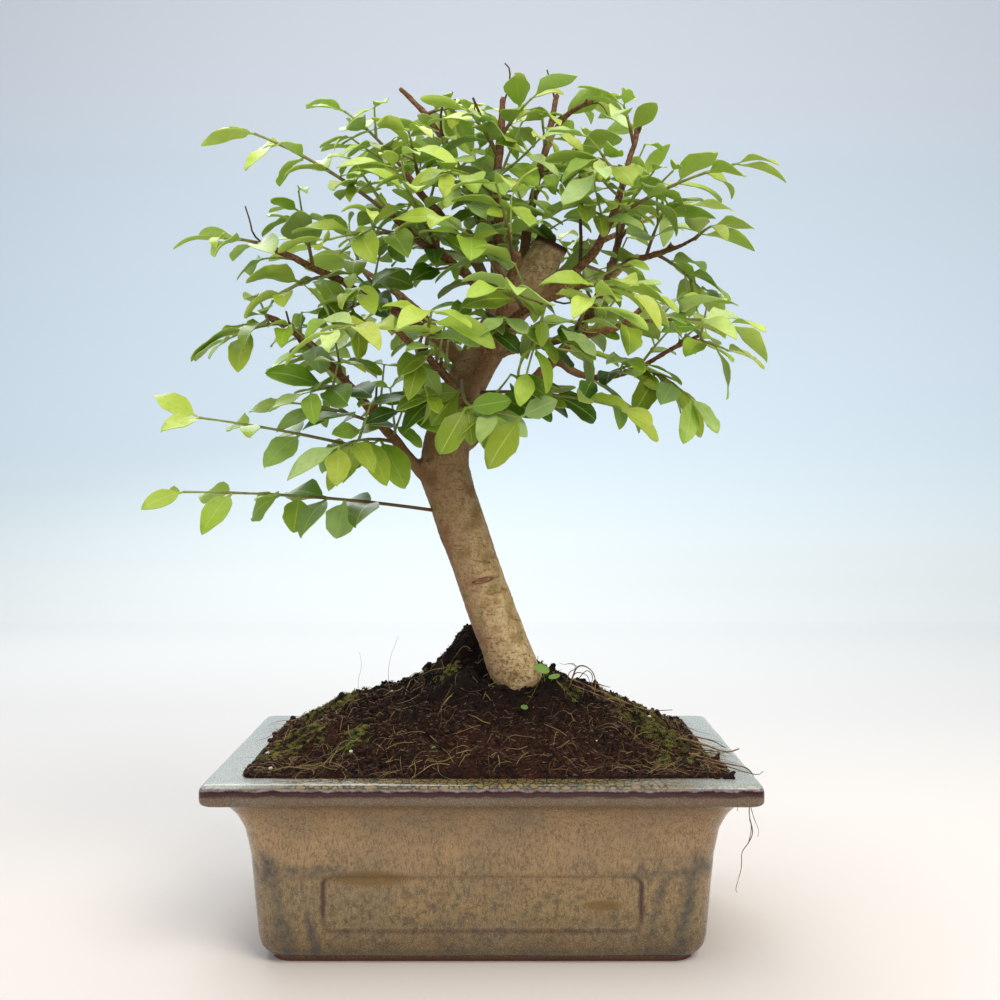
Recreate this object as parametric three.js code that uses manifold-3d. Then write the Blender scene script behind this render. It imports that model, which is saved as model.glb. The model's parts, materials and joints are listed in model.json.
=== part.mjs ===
// A Chinese privet bonsai in a glazed rectangular pot.
// Millimetres, +Z up. The pot's front faces -Y, and the origin lies under its middle, on the table.
// The tree is grown by rule: limbs run through four points each, and every leafy spray is a twig
// with its leaves in opposite pairs, each leaf turned until it hangs clear of its neighbours.

import * as THREE from 'three';
import { mergeVertices } from 'three/addons/utils/BufferGeometryUtils.js';
import Module from 'manifold-3d';

const wasm = await Module();
wasm.setup();

// Driving dimensions of the pot
const potLength = 200;
const potWidth = 140;
const potHeight = 70;
const floorTop = 9;
const rimCorner = 4;
const bodyCorner = 11;
const drainRadius = 7.5;
const drainSpacing = 76;
const footHeight = 2.2;
const footBand = 8;
const footNotch = 24;
const footRib = 10;
const panelHeight = 21;
const panelMiddle = 23.3;
const panelDepth = 0.8;
const panelEndMargin = 42;
const panelCorner = 4;
const cornerSteps = 2;

// The pot's walls, from the foot up over the rim and down to the floor inside: how far in from the
// rim's edge, how high, and the corner's radius
const outerWall = [
  [22, 0, 8],
  [21.4, footHeight, 8],
  [19.4, 2.9, 9],
  [17.4, 5.2, bodyCorner],
  [16.6, 9, bodyCorner],
  [14.4, 40, bodyCorner],
  [12.6, 50, bodyCorner],
  [10.2, 56, 10],
  [7.4, 60, 9],
  [4, 62.6, 7],
  [1.8, 63, rimCorner],
  [0.3, 64.4, rimCorner],
  [0, 66.4, rimCorner],
  [0.4, 68.8, rimCorner],
  [2, potHeight, rimCorner],
];
const innerWall = [
  [12.2, potHeight, 7],
  [13.4, 69, 7],
  [15, 60, 7],
  [19.5, 34, 7],
  [23, 15, 7],
  [28, floorTop, 7],
];
// The straight stretch of the outer wall that holds the sunk panels
const [panelWallLow, panelWallHigh] = outerWall.slice(4, 6);

// Drainage mesh, cut from a sheet of plastic netting
const meshSide = 27;
const meshThickness = 0.8;
const meshCells = 3;
const meshBar = 1.8;

// Clearance between pieces that were made apart
const gap = 0.3;

// Soil: it fills the pot and rises to a crest behind the trunk
const soilEdge = 71;
const soilRise = 39;
const soilBulge = 0.9;
const soilSquareness = 2.4;
const soilPeak = [-3, 12];
const crestHeight = 9;
const crestRadius = 13;
const soilRings = 7;
const soilSideSteps = 4;
const clodHeight = 1.1;
const clodPitch = 11;

// Twigs and leaves; angles are in degrees, and droop and stray are shares of a leaf's length.
// Levelling is the share of its rise that a leaf keeps as it turns flat to the light.
const twigRadii = [1.05, 0.65];
const bareTwig = 0.3;
const pairTurns = [4, 28];
const leafSpread = 56;
const tipLeafSpread = 33;
const spreadStray = 12;
const usualDroop = 0.05;
const levelling = 0.62;
const leafStray = 0.25;
const outwardLean = 0.3;
const leafLength = 20;
const leafThickness = 0.6;
const leafWave = 0.05;
const leafTries = 14;
const leafClearance = 0.4;

// Leaf outline, from base to tip on one side: share of the length, and of half the width
const leafOutline = [[0.34, 0.94], [0.72, 0.8]];

const glaze = new THREE.MeshStandardMaterial({ color: 0x86745a, roughness: 0.3, metalness: 0 });
const netting = new THREE.MeshStandardMaterial({ color: 0x20241f, roughness: 0.6, metalness: 0 });
const earth = new THREE.MeshStandardMaterial({ color: 0x35231a, roughness: 1, metalness: 0 });
const bark = new THREE.MeshStandardMaterial({ color: 0x9a8763, roughness: 0.8, metalness: 0 });
const foliage = new THREE.MeshStandardMaterial({ color: 0x7cab2c, roughness: 0.45, metalness: 0 });

// The trunk: from the soil up to the fork, then on to the sawn stub
const stem = {
  route: [[30, -8, 52], [13.6, -9, 98], [-2, -7, 140], [-17.2, -3, 186]],
  radii: [10.4, 9.8, 9.4, 10.2],
};
const upperTrunk = {
  route: [[-15, -3, 178], [-9.5, -4, 210], [9, -5, 243], [28.3, -6, 273]],
  radii: [10, 8.6, 7.4, 6.8],
};

// Each bough: the four points it runs through, its radius at the root and at the cut end, and its
// sprays. A spray leaves the bough at a share of its run, and reaches its tip in an arch.
const boughs = {
  trunk: {
    route: [[-12, -5, 160], [-14, -5, 176], [-12, -6, 196], [-4, -6, 212]],
    sprays: [
      { at: 0.08, tip: [-113, -34, 173], arch: 4, pairs: 5, droop: 0.15 },
      { at: 1, tip: [51, -46, 204], arch: 5, pairs: 4 },
      { at: 0.84, tip: [4, -46, 203], arch: 6, pairs: 3, droop: 0.9 },
    ],
  },
  left: {
    route: [[-21, -4, 178], [-36, -8, 194], [-58, -14, 221], [-84, -20, 241]],
    radii: [2.2, 1.4],
    sprays: [
      { at: 0.12, tip: [-107, -34, 201], arch: 3, pairs: 4 },
      { at: 0.3, tip: [-77, -8, 208], arch: 4, pairs: 3 },
      { at: 0.93, tip: [-95, -29, 232], arch: 2, pairs: 3 },
      { at: 0.48, tip: [-63, -46, 210], arch: 4, pairs: 3 },
      { at: 0.22, tip: [-53, -44, 190], arch: 4, pairs: 4, droop: 0.6 },
      { at: 0.6, tip: [-69, 26, 231], arch: 5, pairs: 3 },
    ],
  },
  mid_left: {
    route: [[-6, -2, 218], [-21, -8, 235], [-52, -18, 253], [-85, -26, 268]],
    radii: [2.4, 1.2],
    sprays: [
      { at: 0.95, tip: [-97, -36, 268], arch: 2, pairs: 3 },
      { at: 0.7, tip: [-73, -42, 247], arch: 3, pairs: 3 },
      { at: 0.5, tip: [-53, -50, 237], arch: 3, pairs: 3 },
      { at: 0.78, tip: [-71, -22, 281], arch: 5, pairs: 3 },
      { at: 0.45, tip: [-61, 26, 274], arch: 5, pairs: 3 },
    ],
  },
  upper_left: {
    route: [[5, -6, 242], [-8, -18, 258], [-22, -28, 267], [-34, -36, 277]],
    radii: [2.3, 1.4],
    sprays: [
      { at: 0.95, tip: [-84, -44, 305], arch: 6, pairs: 5 },
      { at: 0.6, tip: [-32, -56, 290], arch: 5, pairs: 3 },
      { at: 0.8, tip: [-54, -62, 263], arch: 4, pairs: 3 },
    ],
  },
  crown_left: {
    route: [[6, -8, 247], [-5, -8, 266], [-19, -6, 284], [-33, -2, 303]],
    radii: [2.4, 1.4],
    sprays: [
      { at: 0.93, tip: [-55, -8, 323], arch: 4, pairs: 3 },
      { at: 0.8, tip: [-28, -32, 309], arch: 4, pairs: 3 },
    ],
  },
  crown_back_left: {
    route: [[10, -1, 250], [-1, 14, 283], [-15, 24, 316], [-36, 30, 343]],
    radii: [2.4, 1.2],
    sprays: [
      { at: 0.85, tip: [-13, 30, 334], arch: 2, pairs: 3 },
      { at: 0.6, tip: [-45, 48, 322], arch: 5, pairs: 3 },
    ],
  },
  crown: {
    route: [[9, -8, 245], [6, -10, 272], [6, -6, 305], [8, -2, 330]],
    radii: [2.6, 1.4],
    sprays: [
      { at: 0.5, tip: [-11, -38, 293], arch: 5, pairs: 3 },
      { at: 0.8, tip: [19, -8, 328], arch: 2, pairs: 3 },
      { at: 0.7, tip: [-6, -20, 320], arch: 4, pairs: 3 },
    ],
  },
  crown_fork: {
    route: [[26, 12, 315], [32, 8, 324], [37, 4, 327], [44, 0, 329]],
    radii: [1.4, 1],
    sprays: [],
  },
  crown_right: {
    route: [[14, -1, 252], [19, 8, 286], [25, 12, 313], [30, 14, 336]],
    radii: [2.4, 1.3],
    sprays: [
      { at: 0.85, tip: [44, 18, 333], arch: 2, pairs: 3 },
      { at: 0.5, tip: [49, 36, 325], arch: 5, pairs: 3 },
    ],
  },
  right: {
    route: [[10, -5, 240], [37, -8, 260], [50, -10, 279], [61, -6, 317]],
    radii: [2.5, 1.2],
    sprays: [
      { at: 0.93, tip: [55, -12, 324], arch: 2, pairs: 3 },
      { at: 0.6, tip: [97, -22, 299], arch: 5, pairs: 4 },
      { at: 0.8, tip: [43, -46, 291], arch: 4, pairs: 3 },
    ],
  },
  right_back: {
    route: [[-11, 1, 189], [23, 18, 221], [48, 28, 254], [57, 30, 286]],
    radii: [3, 1.6],
    sprays: [
      { at: 0.93, tip: [67, 36, 306], arch: 4, pairs: 3 },
      { at: 0.7, tip: [33, 58, 284], arch: 5, pairs: 3 },
    ],
  },
  right_side: {
    route: [[54, 28, 264], [65, 22, 270], [76, 16, 272], [88, 8, 277]],
    radii: [1.9, 0.9],
    sprays: [
      { at: 0.93, tip: [92, 4, 280], arch: 1, pairs: 2 },
      { at: 0.4, tip: [74, 0, 288], arch: 4, pairs: 3 },
      { at: 0.5, tip: [90, 20, 257], arch: 3, pairs: 3 },
    ],
  },
  mid_right: {
    route: [[5, -8, 228], [30, -26, 231], [50, -37, 235], [62, -43, 246]],
    radii: [2.2, 1.2],
    sprays: [
      { at: 0.75, tip: [90, -48, 235], arch: 4, pairs: 4 },
      { at: 0.5, tip: [40, -68, 242], arch: 4, pairs: 3 },
    ],
  },
  low_right: {
    route: [[30, 20, 228], [49, 8, 219], [67, 0, 225], [86, -6, 235]],
    radii: [1.8, 0.9],
    sprays: [
      { at: 0.93, tip: [96, -14, 228], arch: 2, pairs: 3 },
      { at: 0.6, tip: [80, -22, 209], arch: 3, pairs: 3, droop: 0.6 },
    ],
  },
  front: {
    route: [[-6, -8, 210], [2, -20, 228], [8, -28, 246], [13, -34, 263]],
    radii: [2.6, 1.9],
    sprays: [
      { at: 0.8, tip: [-12, -62, 270], arch: 5, pairs: 3 },
      { at: 0.93, tip: [5, -66, 282], arch: 5, pairs: 3 },
    ],
  },
  front_left: {
    route: [[-9, -8, 207], [-16, -30, 219], [-25, -48, 227], [-34, -62, 233]],
    radii: [2.2, 1.1],
    sprays: [
      { at: 0.95, tip: [-50, -78, 229], arch: 3, pairs: 3 },
      { at: 0.6, tip: [-17, -76, 236], arch: 4, pairs: 3 },
    ],
  },
  front_right: {
    route: [[3, -10, 229], [12, -34, 239], [23, -50, 243], [37, -64, 247]],
    radii: [2.2, 1.1],
    sprays: [
      { at: 0.95, tip: [52, -78, 242], arch: 3, pairs: 3 },
      { at: 0.5, tip: [8, -74, 244], arch: 4, pairs: 3 },
    ],
  },
  back_left: {
    route: [[-6, 1, 220], [-19, 28, 239], [-38, 50, 259], [-62, 70, 275]],
    radii: [2.6, 1.2],
    sprays: [
      { at: 0.95, tip: [-87, 86, 289], arch: 4, pairs: 3 },
      { at: 0.6, tip: [-62, 72, 246], arch: 4, pairs: 3 },
    ],
  },
  back_right: {
    route: [[7, 0, 238], [24, 30, 258], [46, 52, 279], [70, 68, 291]],
    radii: [2.6, 1.2],
    sprays: [
      { at: 0.95, tip: [94, 80, 304], arch: 4, pairs: 3 },
      { at: 0.6, tip: [75, 72, 259], arch: 4, pairs: 3 },
    ],
  },
  back: {
    route: [[9, 0, 246], [3, 28, 275], [-2, 46, 304], [-7, 58, 329]],
    radii: [2.6, 1.2],
    sprays: [
      { at: 0.95, tip: [-14, 66, 338], arch: 4, pairs: 3 },
      { at: 0.6, tip: [25, 76, 320], arch: 5, pairs: 3 },
    ],
  },
};

const up = new THREE.Vector3(0, 0, 1);
const vector = (p) => new THREE.Vector3(...p);

// Solids

function solidOf(geometry) {
  const bare = geometry.clone();
  bare.deleteAttribute('normal');
  bare.deleteAttribute('uv');
  const merged = mergeVertices(bare, 1e-3);
  return new wasm.Manifold(new wasm.Mesh({
    numProp: 3,
    vertProperties: merged.attributes.position.array,
    triVerts: new Uint32Array(merged.index.array),
  }));
}

function meshOf(name, solid, material) {
  const cut = solid.getMesh();
  const geometry = new THREE.BufferGeometry();
  geometry.setAttribute('position', new THREE.BufferAttribute(cut.vertProperties, 3));
  geometry.setIndex(new THREE.BufferAttribute(cut.triVerts, 1));
  geometry.computeVertexNormals();
  const mesh = new THREE.Mesh(geometry, material);
  mesh.name = name;
  return mesh;
}

function geometryOf(points, faces) {
  const geometry = new THREE.BufferGeometry();
  const flat = points.flatMap((p) => [p.x, p.y, p.z]);
  geometry.setAttribute('position', new THREE.Float32BufferAttribute(flat, 3));
  geometry.setIndex(faces.flat());
  return geometry;
}

// A closed skin over rings of equally many points, each ring counter-clockwise seen from the last.
function loft(rings) {
  const around = rings[0].length;
  const points = rings.flat();
  const faces = [];
  for (let ring = 0; ring + 1 < rings.length; ring++) {
    for (let i = 0; i < around; i++) {
      const a = ring * around + i;
      const b = ring * around + (i + 1) % around;
      faces.push([a, b, b + around], [a, b + around, a + around]);
    }
  }
  const top = (rings.length - 1) * around;
  for (let i = 1; i + 1 < around; i++) {
    faces.push([0, i + 1, i], [top, top + i, top + i + 1]);
  }
  return geometryOf(points, faces);
}

function largestOf(solid) {
  return solid.decompose().sort((a, b) => b.volume() - a.volume())[0];
}

// A level ring round the pot: rounded corners joined by straight sides.
function potRing([inset, height, corner], perCorner = cornerSteps, perSide = 0) {
  const halfLength = potLength / 2 - inset;
  const halfWidth = potWidth / 2 - inset;
  const corners = [[1, -1], [1, 1], [-1, 1], [-1, -1]];
  const ring = [];
  corners.forEach(([sx, sy], i) => {
    for (let step = 0; step <= perCorner; step++) {
      const angle = Math.PI / 2 * (i - 1 + step / perCorner);
      ring.push(new THREE.Vector3(
        sx * (halfLength - corner) + corner * Math.cos(angle),
        sy * (halfWidth - corner) + corner * Math.sin(angle),
        height,
      ));
    }
    const [nx, ny] = corners[(i + 1) % 4];
    const from = ring.at(-1);
    const turn = Math.PI / 2 * i;
    const to = new THREE.Vector3(
      nx * (halfLength - corner) + corner * Math.cos(turn),
      ny * (halfWidth - corner) + corner * Math.sin(turn),
      height,
    );
    for (let step = 1; step <= perSide; step++) {
      ring.push(from.clone().lerp(to, step / (perSide + 1)));
    }
  });
  return ring;
}

function roundedShape(length, width, corner) {
  const x = length / 2 - corner;
  const y = width / 2 - corner;
  const shape = new THREE.Shape();
  shape.absarc(x, y, corner, 0, Math.PI / 2);
  shape.absarc(-x, y, corner, Math.PI / 2, Math.PI);
  shape.absarc(-x, -y, corner, Math.PI, Math.PI * 1.5);
  shape.absarc(x, -y, corner, Math.PI * 1.5, Math.PI * 2);
  return shape;
}

// Pot

function makePot() {
  let pot = solidOf(loft([...outerWall, ...innerWall].map((level) => potRing(level))));
  pot = pot.subtract(underside());
  for (const side of [-1, 1]) {
    const drain = new THREE.CylinderGeometry(drainRadius, drainRadius, 4 * floorTop, 12);
    drain.rotateX(Math.PI / 2).translate(side * drainSpacing / 2, 0, 0);
    pot = pot.subtract(solidOf(drain));
  }
  for (let quarter = 0; quarter < 4; quarter++) pot = pot.subtract(panelCutter(quarter));
  return pot;
}

// The shallow hollow under the pot: a foot runs all round it and a rib crosses its middle, and at both
// ends a notch lets the water out.
function underside() {
  const inset = outerWall[0][0] + footBand;
  const hollow = solidOf(loft([-1, footHeight].map((height) => potRing([inset, height, 4], 1))));
  const notches = solidOf(new THREE.BoxGeometry(potLength, footNotch, 2 * footHeight));
  const rib = solidOf(new THREE.BoxGeometry(footRib, potWidth, 4 * footHeight));
  return hollow.add(notches).subtract(rib);
}

// The sunk panel on one side of the pot: a slab laid along the leaning wall.
function panelCutter(quarter) {
  const [lowInset, low] = panelWallLow;
  const [highInset, high] = panelWallHigh;
  const lean = Math.atan2(lowInset - highInset, high - low);
  const inset = lowInset + (highInset - lowInset) * (panelMiddle - low) / (high - low);
  const [across, out] = quarter % 2 ? [potWidth, potLength] : [potLength, potWidth];
  const length = across - 2 * panelEndMargin;
  const outline = roundedShape(length, panelHeight, panelCorner);
  const slab = new THREE.ExtrudeGeometry(outline, {
    depth: 5 * panelDepth, bevelEnabled: false, curveSegments: cornerSteps,
  });
  slab.translate(0, 0, -panelDepth).rotateX(Math.PI / 2 + lean);
  slab.translate(0, inset - out / 2, panelMiddle).rotateZ(quarter * Math.PI / 2);
  return solidOf(slab);
}

// Netting over one drain hole
function makeNetting(side) {
  const open = (meshSide - meshBar) / meshCells - meshBar;
  let plate = solidOf(new THREE.BoxGeometry(meshSide, meshSide, meshThickness));
  for (let row = 0; row < meshCells; row++) {
    for (let column = 0; column < meshCells; column++) {
      const place = (index) => (index - (meshCells - 1) / 2) * (open + meshBar);
      const cell = new THREE.BoxGeometry(open, open, 2 * meshThickness);
      plate = plate.subtract(solidOf(cell.translate(place(column), place(row), 0)));
    }
  }
  return plate.translate([side * drainSpacing / 2, 0, floorTop + meshThickness / 2]);
}

// Soil

// The mound's height over a place in the pot.
function soilHeight(x, y) {
  const [peakX, peakY] = soilPeak;
  const share = (offset, peak, size) => {
    const room = size / 2 - innerWall[0][0];
    return Math.abs(offset) / (offset > 0 ? room - peak : room + peak);
  };
  const alongX = share(x - peakX, peakX, potLength);
  const alongY = share(y - peakY, peakY, potWidth);
  const reach = (alongX ** soilSquareness + alongY ** soilSquareness) ** (1 / soilSquareness);
  const rise = Math.max(0, 1 - reach);
  const crest = Math.exp(-((x - peakX) ** 2 + (y - peakY) ** 2) / crestRadius ** 2);
  const turn = 2 * Math.PI / clodPitch;
  const clods = Math.sin(turn * (x + 0.4 * y)) * Math.sin(turn * (1.1 * y - 0.3 * x));
  return soilEdge + soilRise * rise ** soilBulge + crestHeight * crest
    + clodHeight * clods * Math.min(1, 6 * rise);
}

function makeSoil(trunkRoom) {
  const sides = [...innerWall].reverse().map(([inset, height, corner]) => (
    potRing([inset + gap, Math.max(height, floorTop + gap), corner], cornerSteps, soilSideSteps)));
  const edge = sides.at(-1);
  const [peakX, peakY] = soilPeak;
  const mound = Array.from({ length: soilRings }, (_, ring) => edge.map((p) => {
    const share = 1 - ring / soilRings;
    const x = peakX + (p.x - peakX) * share;
    const y = peakY + (p.y - peakY) * share;
    return new THREE.Vector3(x, y, soilHeight(x, y));
  }));
  let soil = solidOf(loft([...sides, ...mound])).subtract(trunkRoom);
  const room = meshSide + 2 * gap;
  for (const side of [-1, 1]) {
    const pocket = new THREE.BoxGeometry(room, room, 2 * (meshThickness + gap));
    soil = soil.subtract(solidOf(pocket.translate(side * drainSpacing / 2, 0, floorTop)));
  }
  return soil;
}

// Wood

// The smooth curve through four points.
function runThrough(route) {
  const [a, b, c, d] = route.map(vector);
  const blend = (wa, wb, wc, wd) => new THREE.Vector3()
    .addScaledVector(a, wa / 6).addScaledVector(b, wb / 6)
    .addScaledVector(c, wc / 6).addScaledVector(d, wd / 6);
  return new THREE.CubicBezierCurve3(a, blend(-5, 18, -9, 2), blend(2, -9, 18, -5), d);
}

// A round limb along a curve, its radius passing evenly through the given ones.
function limb(curve, radii, sides, steps) {
  const frames = curve.computeFrenetFrames(steps);
  const rings = [];
  for (let step = 0; step <= steps; step++) {
    const place = step / steps * (radii.length - 1);
    const from = Math.min(Math.floor(place), radii.length - 2);
    const radius = THREE.MathUtils.lerp(radii[from], radii[from + 1], place - from);
    const centre = curve.getPointAt(step / steps);
    rings.push(Array.from({ length: sides }, (_, i) => {
      const angle = 2 * Math.PI * i / sides;
      return centre.clone()
        .addScaledVector(frames.normals[step], radius * Math.cos(angle))
        .addScaledVector(frames.binormals[step], radius * Math.sin(angle));
    }));
  }
  return solidOf(loft(rings));
}

function woodyLimbs(grow) {
  const wider = (radii) => radii.map((radius) => radius + grow);
  const limbs = [
    limb(runThrough(stem.route), wider(stem.radii), 12, 8),
    limb(runThrough(upperTrunk.route), wider(upperTrunk.radii), 10, 7),
  ];
  for (const bough of Object.values(boughs)) {
    if (bough.radii) limbs.push(limb(runThrough(bough.route), wider(bough.radii), 5, 5));
  }
  return limbs;
}

// Leaves

// A repeatable stream of numbers from 0 to 1.
function seeded(seed) {
  let state = Math.imul(seed + 1, 2654435761) >>> 0;
  return () => {
    state = (Math.imul(state, 1664525) + 1013904223) >>> 0;
    return state / 4294967296;
  };
}

// The places along a twig where leaves stand, two by two, every other pair turned further.
function leafSites(twig, pairs) {
  const sites = [];
  for (let pair = 0; pair < pairs; pair++) {
    const along = bareTwig + (1 - bareTwig) * pair / (pairs - 1);
    const at = twig.getPoint(along);
    const tangent = twig.getTangent(along);
    const side = new THREE.Vector3().crossVectors(tangent, up).normalize();
    const over = new THREE.Vector3().crossVectors(side, tangent);
    const turn = THREE.MathUtils.degToRad(pairTurns[pair % 2]);
    for (const hand of [-1, 1]) {
      const lateral = side.clone().multiplyScalar(hand * Math.cos(turn))
        .addScaledVector(over, hand * Math.sin(turn));
      sites.push({ at, tangent, lateral, along, last: pair === pairs - 1 });
    }
  }
  return sites;
}

// One try at a leaf: the way its blade points and faces, its size and how far it arches over.
// Each further try strays more and is a little shorter.
function poseLeaf(site, droop, draw, attempt) {
  const either = () => 2 * draw() - 1;
  const anyWay = (size) => new THREE.Vector3(either(), either(), either()).multiplyScalar(size);
  const spread = THREE.MathUtils.degToRad((site.last ? tipLeafSpread : leafSpread) + spreadStray * either());
  const direction = site.tangent.clone().multiplyScalar(Math.cos(spread))
    .addScaledVector(site.lateral, Math.sin(spread));
  direction.z = direction.z * levelling - droop * (0.4 + 1.2 * draw());
  direction.add(anyWay(leafStray * (1 + 0.36 * attempt))).normalize();
  const outward = new THREE.Vector3(site.at.x, site.at.y, 0).normalize();
  const normal = anyWay(2 * leafStray).add(up).addScaledVector(outward, outwardLean);
  normal.addScaledVector(direction, -normal.dot(direction)).normalize();
  const middling = Math.sin(Math.PI * (0.15 + 0.7 * site.along));
  const length = leafLength * (0.78 + 0.3 * middling) * (0.85 + 0.35 * draw()) * (1 - 0.025 * attempt);
  const width = length * (0.46 + 0.12 * draw());
  return { at: site.at, direction, normal, length, width, arch: 0.1 + 0.22 * draw() };
}

// A thin arched blade with waved edges, from a share of its length to the tip, grown by some margin.
function blade(leaf, start = 0, grow = 0) {
  const across = new THREE.Vector3().crossVectors(leaf.normal, leaf.direction);
  const place = (along, side, lift) => leaf.at.clone()
    .addScaledVector(leaf.direction, along)
    .addScaledVector(across, side)
    .addScaledVector(leaf.normal, lift - leaf.arch * along * along / leaf.length);
  const half = leaf.width / 2 + grow;
  const edge = (hand) => leafOutline.map(([along, out], i) => (
    [along * leaf.length, hand * out * half, hand * (i % 2 ? -leafWave : leafWave) * leaf.length]));
  const outline = [
    [start * leaf.length, 0, 0], ...edge(-1), [leaf.length + grow, 0, 0], ...edge(1).reverse(),
  ];
  const thick = leafThickness / 2 + grow;
  const top = outline.map(([along, side, lift]) => place(along, side, lift + thick));
  const under = outline.map(([along, side, lift]) => place(along, side, lift - thick));
  const count = outline.length;
  const faces = [[0, 1, 5], [5, 1, 2], [5, 2, 4], [4, 2, 3]];
  const shell = faces.flatMap(([a, b, c]) => [[a, b, c], [c + count, b + count, a + count]]);
  for (let i = 0; i < count; i++) {
    const next = (i + 1) % count;
    shell.push([i + count, next + count, next], [i + count, next, i]);
  }
  return geometryOf([...top, ...under], shell);
}

function tracked(geometry, owner) {
  geometry.computeBoundingBox();
  return { solid: solidOf(geometry), box: geometry.boundingBox, owner };
}

function meets(piece, other) {
  return piece.box.intersectsBox(other.box) && piece.solid.intersect(other.solid).volume() > 0;
}

function boundsOf(solid) {
  const { min, max } = solid.boundingBox();
  return new THREE.Box3(vector(min), vector(max));
}

// A spray's twig, which leaves its bough at a share of its run and reaches its tip in an arch.
function makeTwig(name, run, spray) {
  const root = run.getPointAt(spray.at);
  const tip = vector(spray.tip);
  const bend = root.clone().lerp(tip, 0.5).addScaledVector(up, spray.arch);
  const twig = new THREE.QuadraticBezierCurve3(root, bend, tip);
  const { pairs, droop = usualDroop } = spray;
  return { name, twig, pairs, droop, solids: [limb(twig, twigRadii, 3, 3)] };
}

// The first try at a leaf that clears the wood, the other sprays and the other leaves of its own.
function growLeaf(site, spray, draw, obstacles) {
  for (let attempt = 0; attempt < leafTries; attempt++) {
    const leaf = poseLeaf(site, spray.droop, draw, attempt);
    const guard = tracked(blade(leaf, 0.02, leafClearance), spray.name);
    const outerPart = tracked(blade(leaf, 0.12), spray.name);
    const blocked = obstacles.some((other) => (
      other.owner === spray.name ? other.isLeaf && meets(outerPart, other) : meets(guard, other)));
    if (!blocked) return tracked(blade(leaf), spray.name);
  }
  return null;
}

// Every spray: all the twigs first, so that leaves keep clear of them, then spray by spray the leaves.
function makeSprays(limbs, woodRoom) {
  const obstacles = limbs.map((solid) => ({ solid, box: boundsOf(solid), owner: 'wood' }));
  const sprays = Object.entries(boughs).flatMap(([boughName, bough]) => {
    const run = runThrough(bough.route);
    return bough.sprays.map((spray, i) => makeTwig(`spray_${boughName}_${i + 1}`, run, spray));
  });
  for (const { name, solids: [solid] } of sprays) {
    obstacles.push({ solid, box: boundsOf(solid), owner: name });
  }
  sprays.forEach((spray, number) => {
    leafSites(spray.twig, spray.pairs).forEach((site, place) => {
      const leaf = growLeaf(site, spray, seeded(100 * number + place), obstacles);
      if (!leaf) return;
      obstacles.push({ ...leaf, isLeaf: true });
      spray.solids.push(leaf.solid);
    });
    spray.solid = largestOf(wasm.Manifold.union(spray.solids).subtract(woodRoom));
  });
  return sprays;
}

const bonsai = new THREE.Group();
const limbs = woodyLimbs(0);
const woodRoom = wasm.Manifold.union(woodyLimbs(gap));
bonsai.add(meshOf('pot', makePot(), glaze));
bonsai.add(meshOf('drain_mesh_left', makeNetting(-1), netting));
bonsai.add(meshOf('drain_mesh_right', makeNetting(1), netting));
bonsai.add(meshOf('soil', makeSoil(woodRoom), earth));
bonsai.add(meshOf('trunk', wasm.Manifold.union(limbs), bark));
for (const spray of makeSprays(limbs, woodRoom)) {
  bonsai.add(meshOf(spray.name, spray.solid, foliage));
}

export default bonsai;
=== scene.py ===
"""A Chinese privet bonsai in a glazed rectangular pot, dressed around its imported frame.

Sizes and places are in millimetres, with the pot's front facing -Y, and a piece becomes metres when it
is finished. The twigs and the large leaves follow the same rule of growth as the frame's own sprays, so
each fine leaf lies where the frame has one; smaller shoots then fill the crown between them.
"""

import bisect
import json
import logging
import random
from dataclasses import dataclass, field
from enum import Enum
from functools import partial
from math import ceil, copysign, cos, exp, hypot, pi, radians, sin, sqrt
from typing import Any, Callable, Iterable, Optional, Sequence

import bmesh
import bpy
from bmesh.types import BMEdge, BMesh, BMVert
from bpy.types import Material, Mesh, Node, NodeSocket, NodeTree, Object
from mathutils import Matrix, Vector, noise
from mathutils.kdtree import KDTree

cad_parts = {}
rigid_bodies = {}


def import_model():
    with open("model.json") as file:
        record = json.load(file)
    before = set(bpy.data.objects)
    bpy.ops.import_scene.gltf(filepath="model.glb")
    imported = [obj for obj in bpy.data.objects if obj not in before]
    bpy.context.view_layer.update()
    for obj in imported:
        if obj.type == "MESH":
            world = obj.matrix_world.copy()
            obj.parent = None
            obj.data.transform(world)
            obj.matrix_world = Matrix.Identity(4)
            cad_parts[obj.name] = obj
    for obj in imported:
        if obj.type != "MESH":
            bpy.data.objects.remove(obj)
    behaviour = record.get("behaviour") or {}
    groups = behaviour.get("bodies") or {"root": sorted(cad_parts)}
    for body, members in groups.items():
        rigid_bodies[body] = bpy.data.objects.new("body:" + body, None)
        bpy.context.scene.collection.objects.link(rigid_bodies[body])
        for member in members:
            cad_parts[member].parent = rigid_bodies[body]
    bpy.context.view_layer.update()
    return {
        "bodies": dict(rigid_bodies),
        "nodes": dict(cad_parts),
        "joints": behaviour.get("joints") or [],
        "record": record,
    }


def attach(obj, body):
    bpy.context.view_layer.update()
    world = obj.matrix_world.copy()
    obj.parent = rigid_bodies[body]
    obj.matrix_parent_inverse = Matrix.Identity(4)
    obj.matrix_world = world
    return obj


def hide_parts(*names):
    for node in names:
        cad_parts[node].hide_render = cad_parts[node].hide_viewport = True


MM = 0.001
UP = Vector((0, 0, 1))
LOG = logging.getLogger("bonsai")
Adder = Callable[..., NodeSocket]


class Slot(Enum):
    """The record's material slots."""

    STONEWARE = "glazed_stoneware"
    NETTING = "netting"
    SOIL = "peat_soil"
    BARK = "bark"
    LEAVES = "leaves"


# Shading


def linear(colour: str) -> tuple[float, ...]:
    """Turns an sRGB hex colour into linear RGBA."""
    channels = [int(colour[i:i + 2], 16) / 255 for i in (1, 3, 5)]
    return tuple(c / 12.92 if c <= 0.04045 else ((c + 0.055) / 1.055) ** 2.4 for c in channels) + (1.0,)


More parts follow.
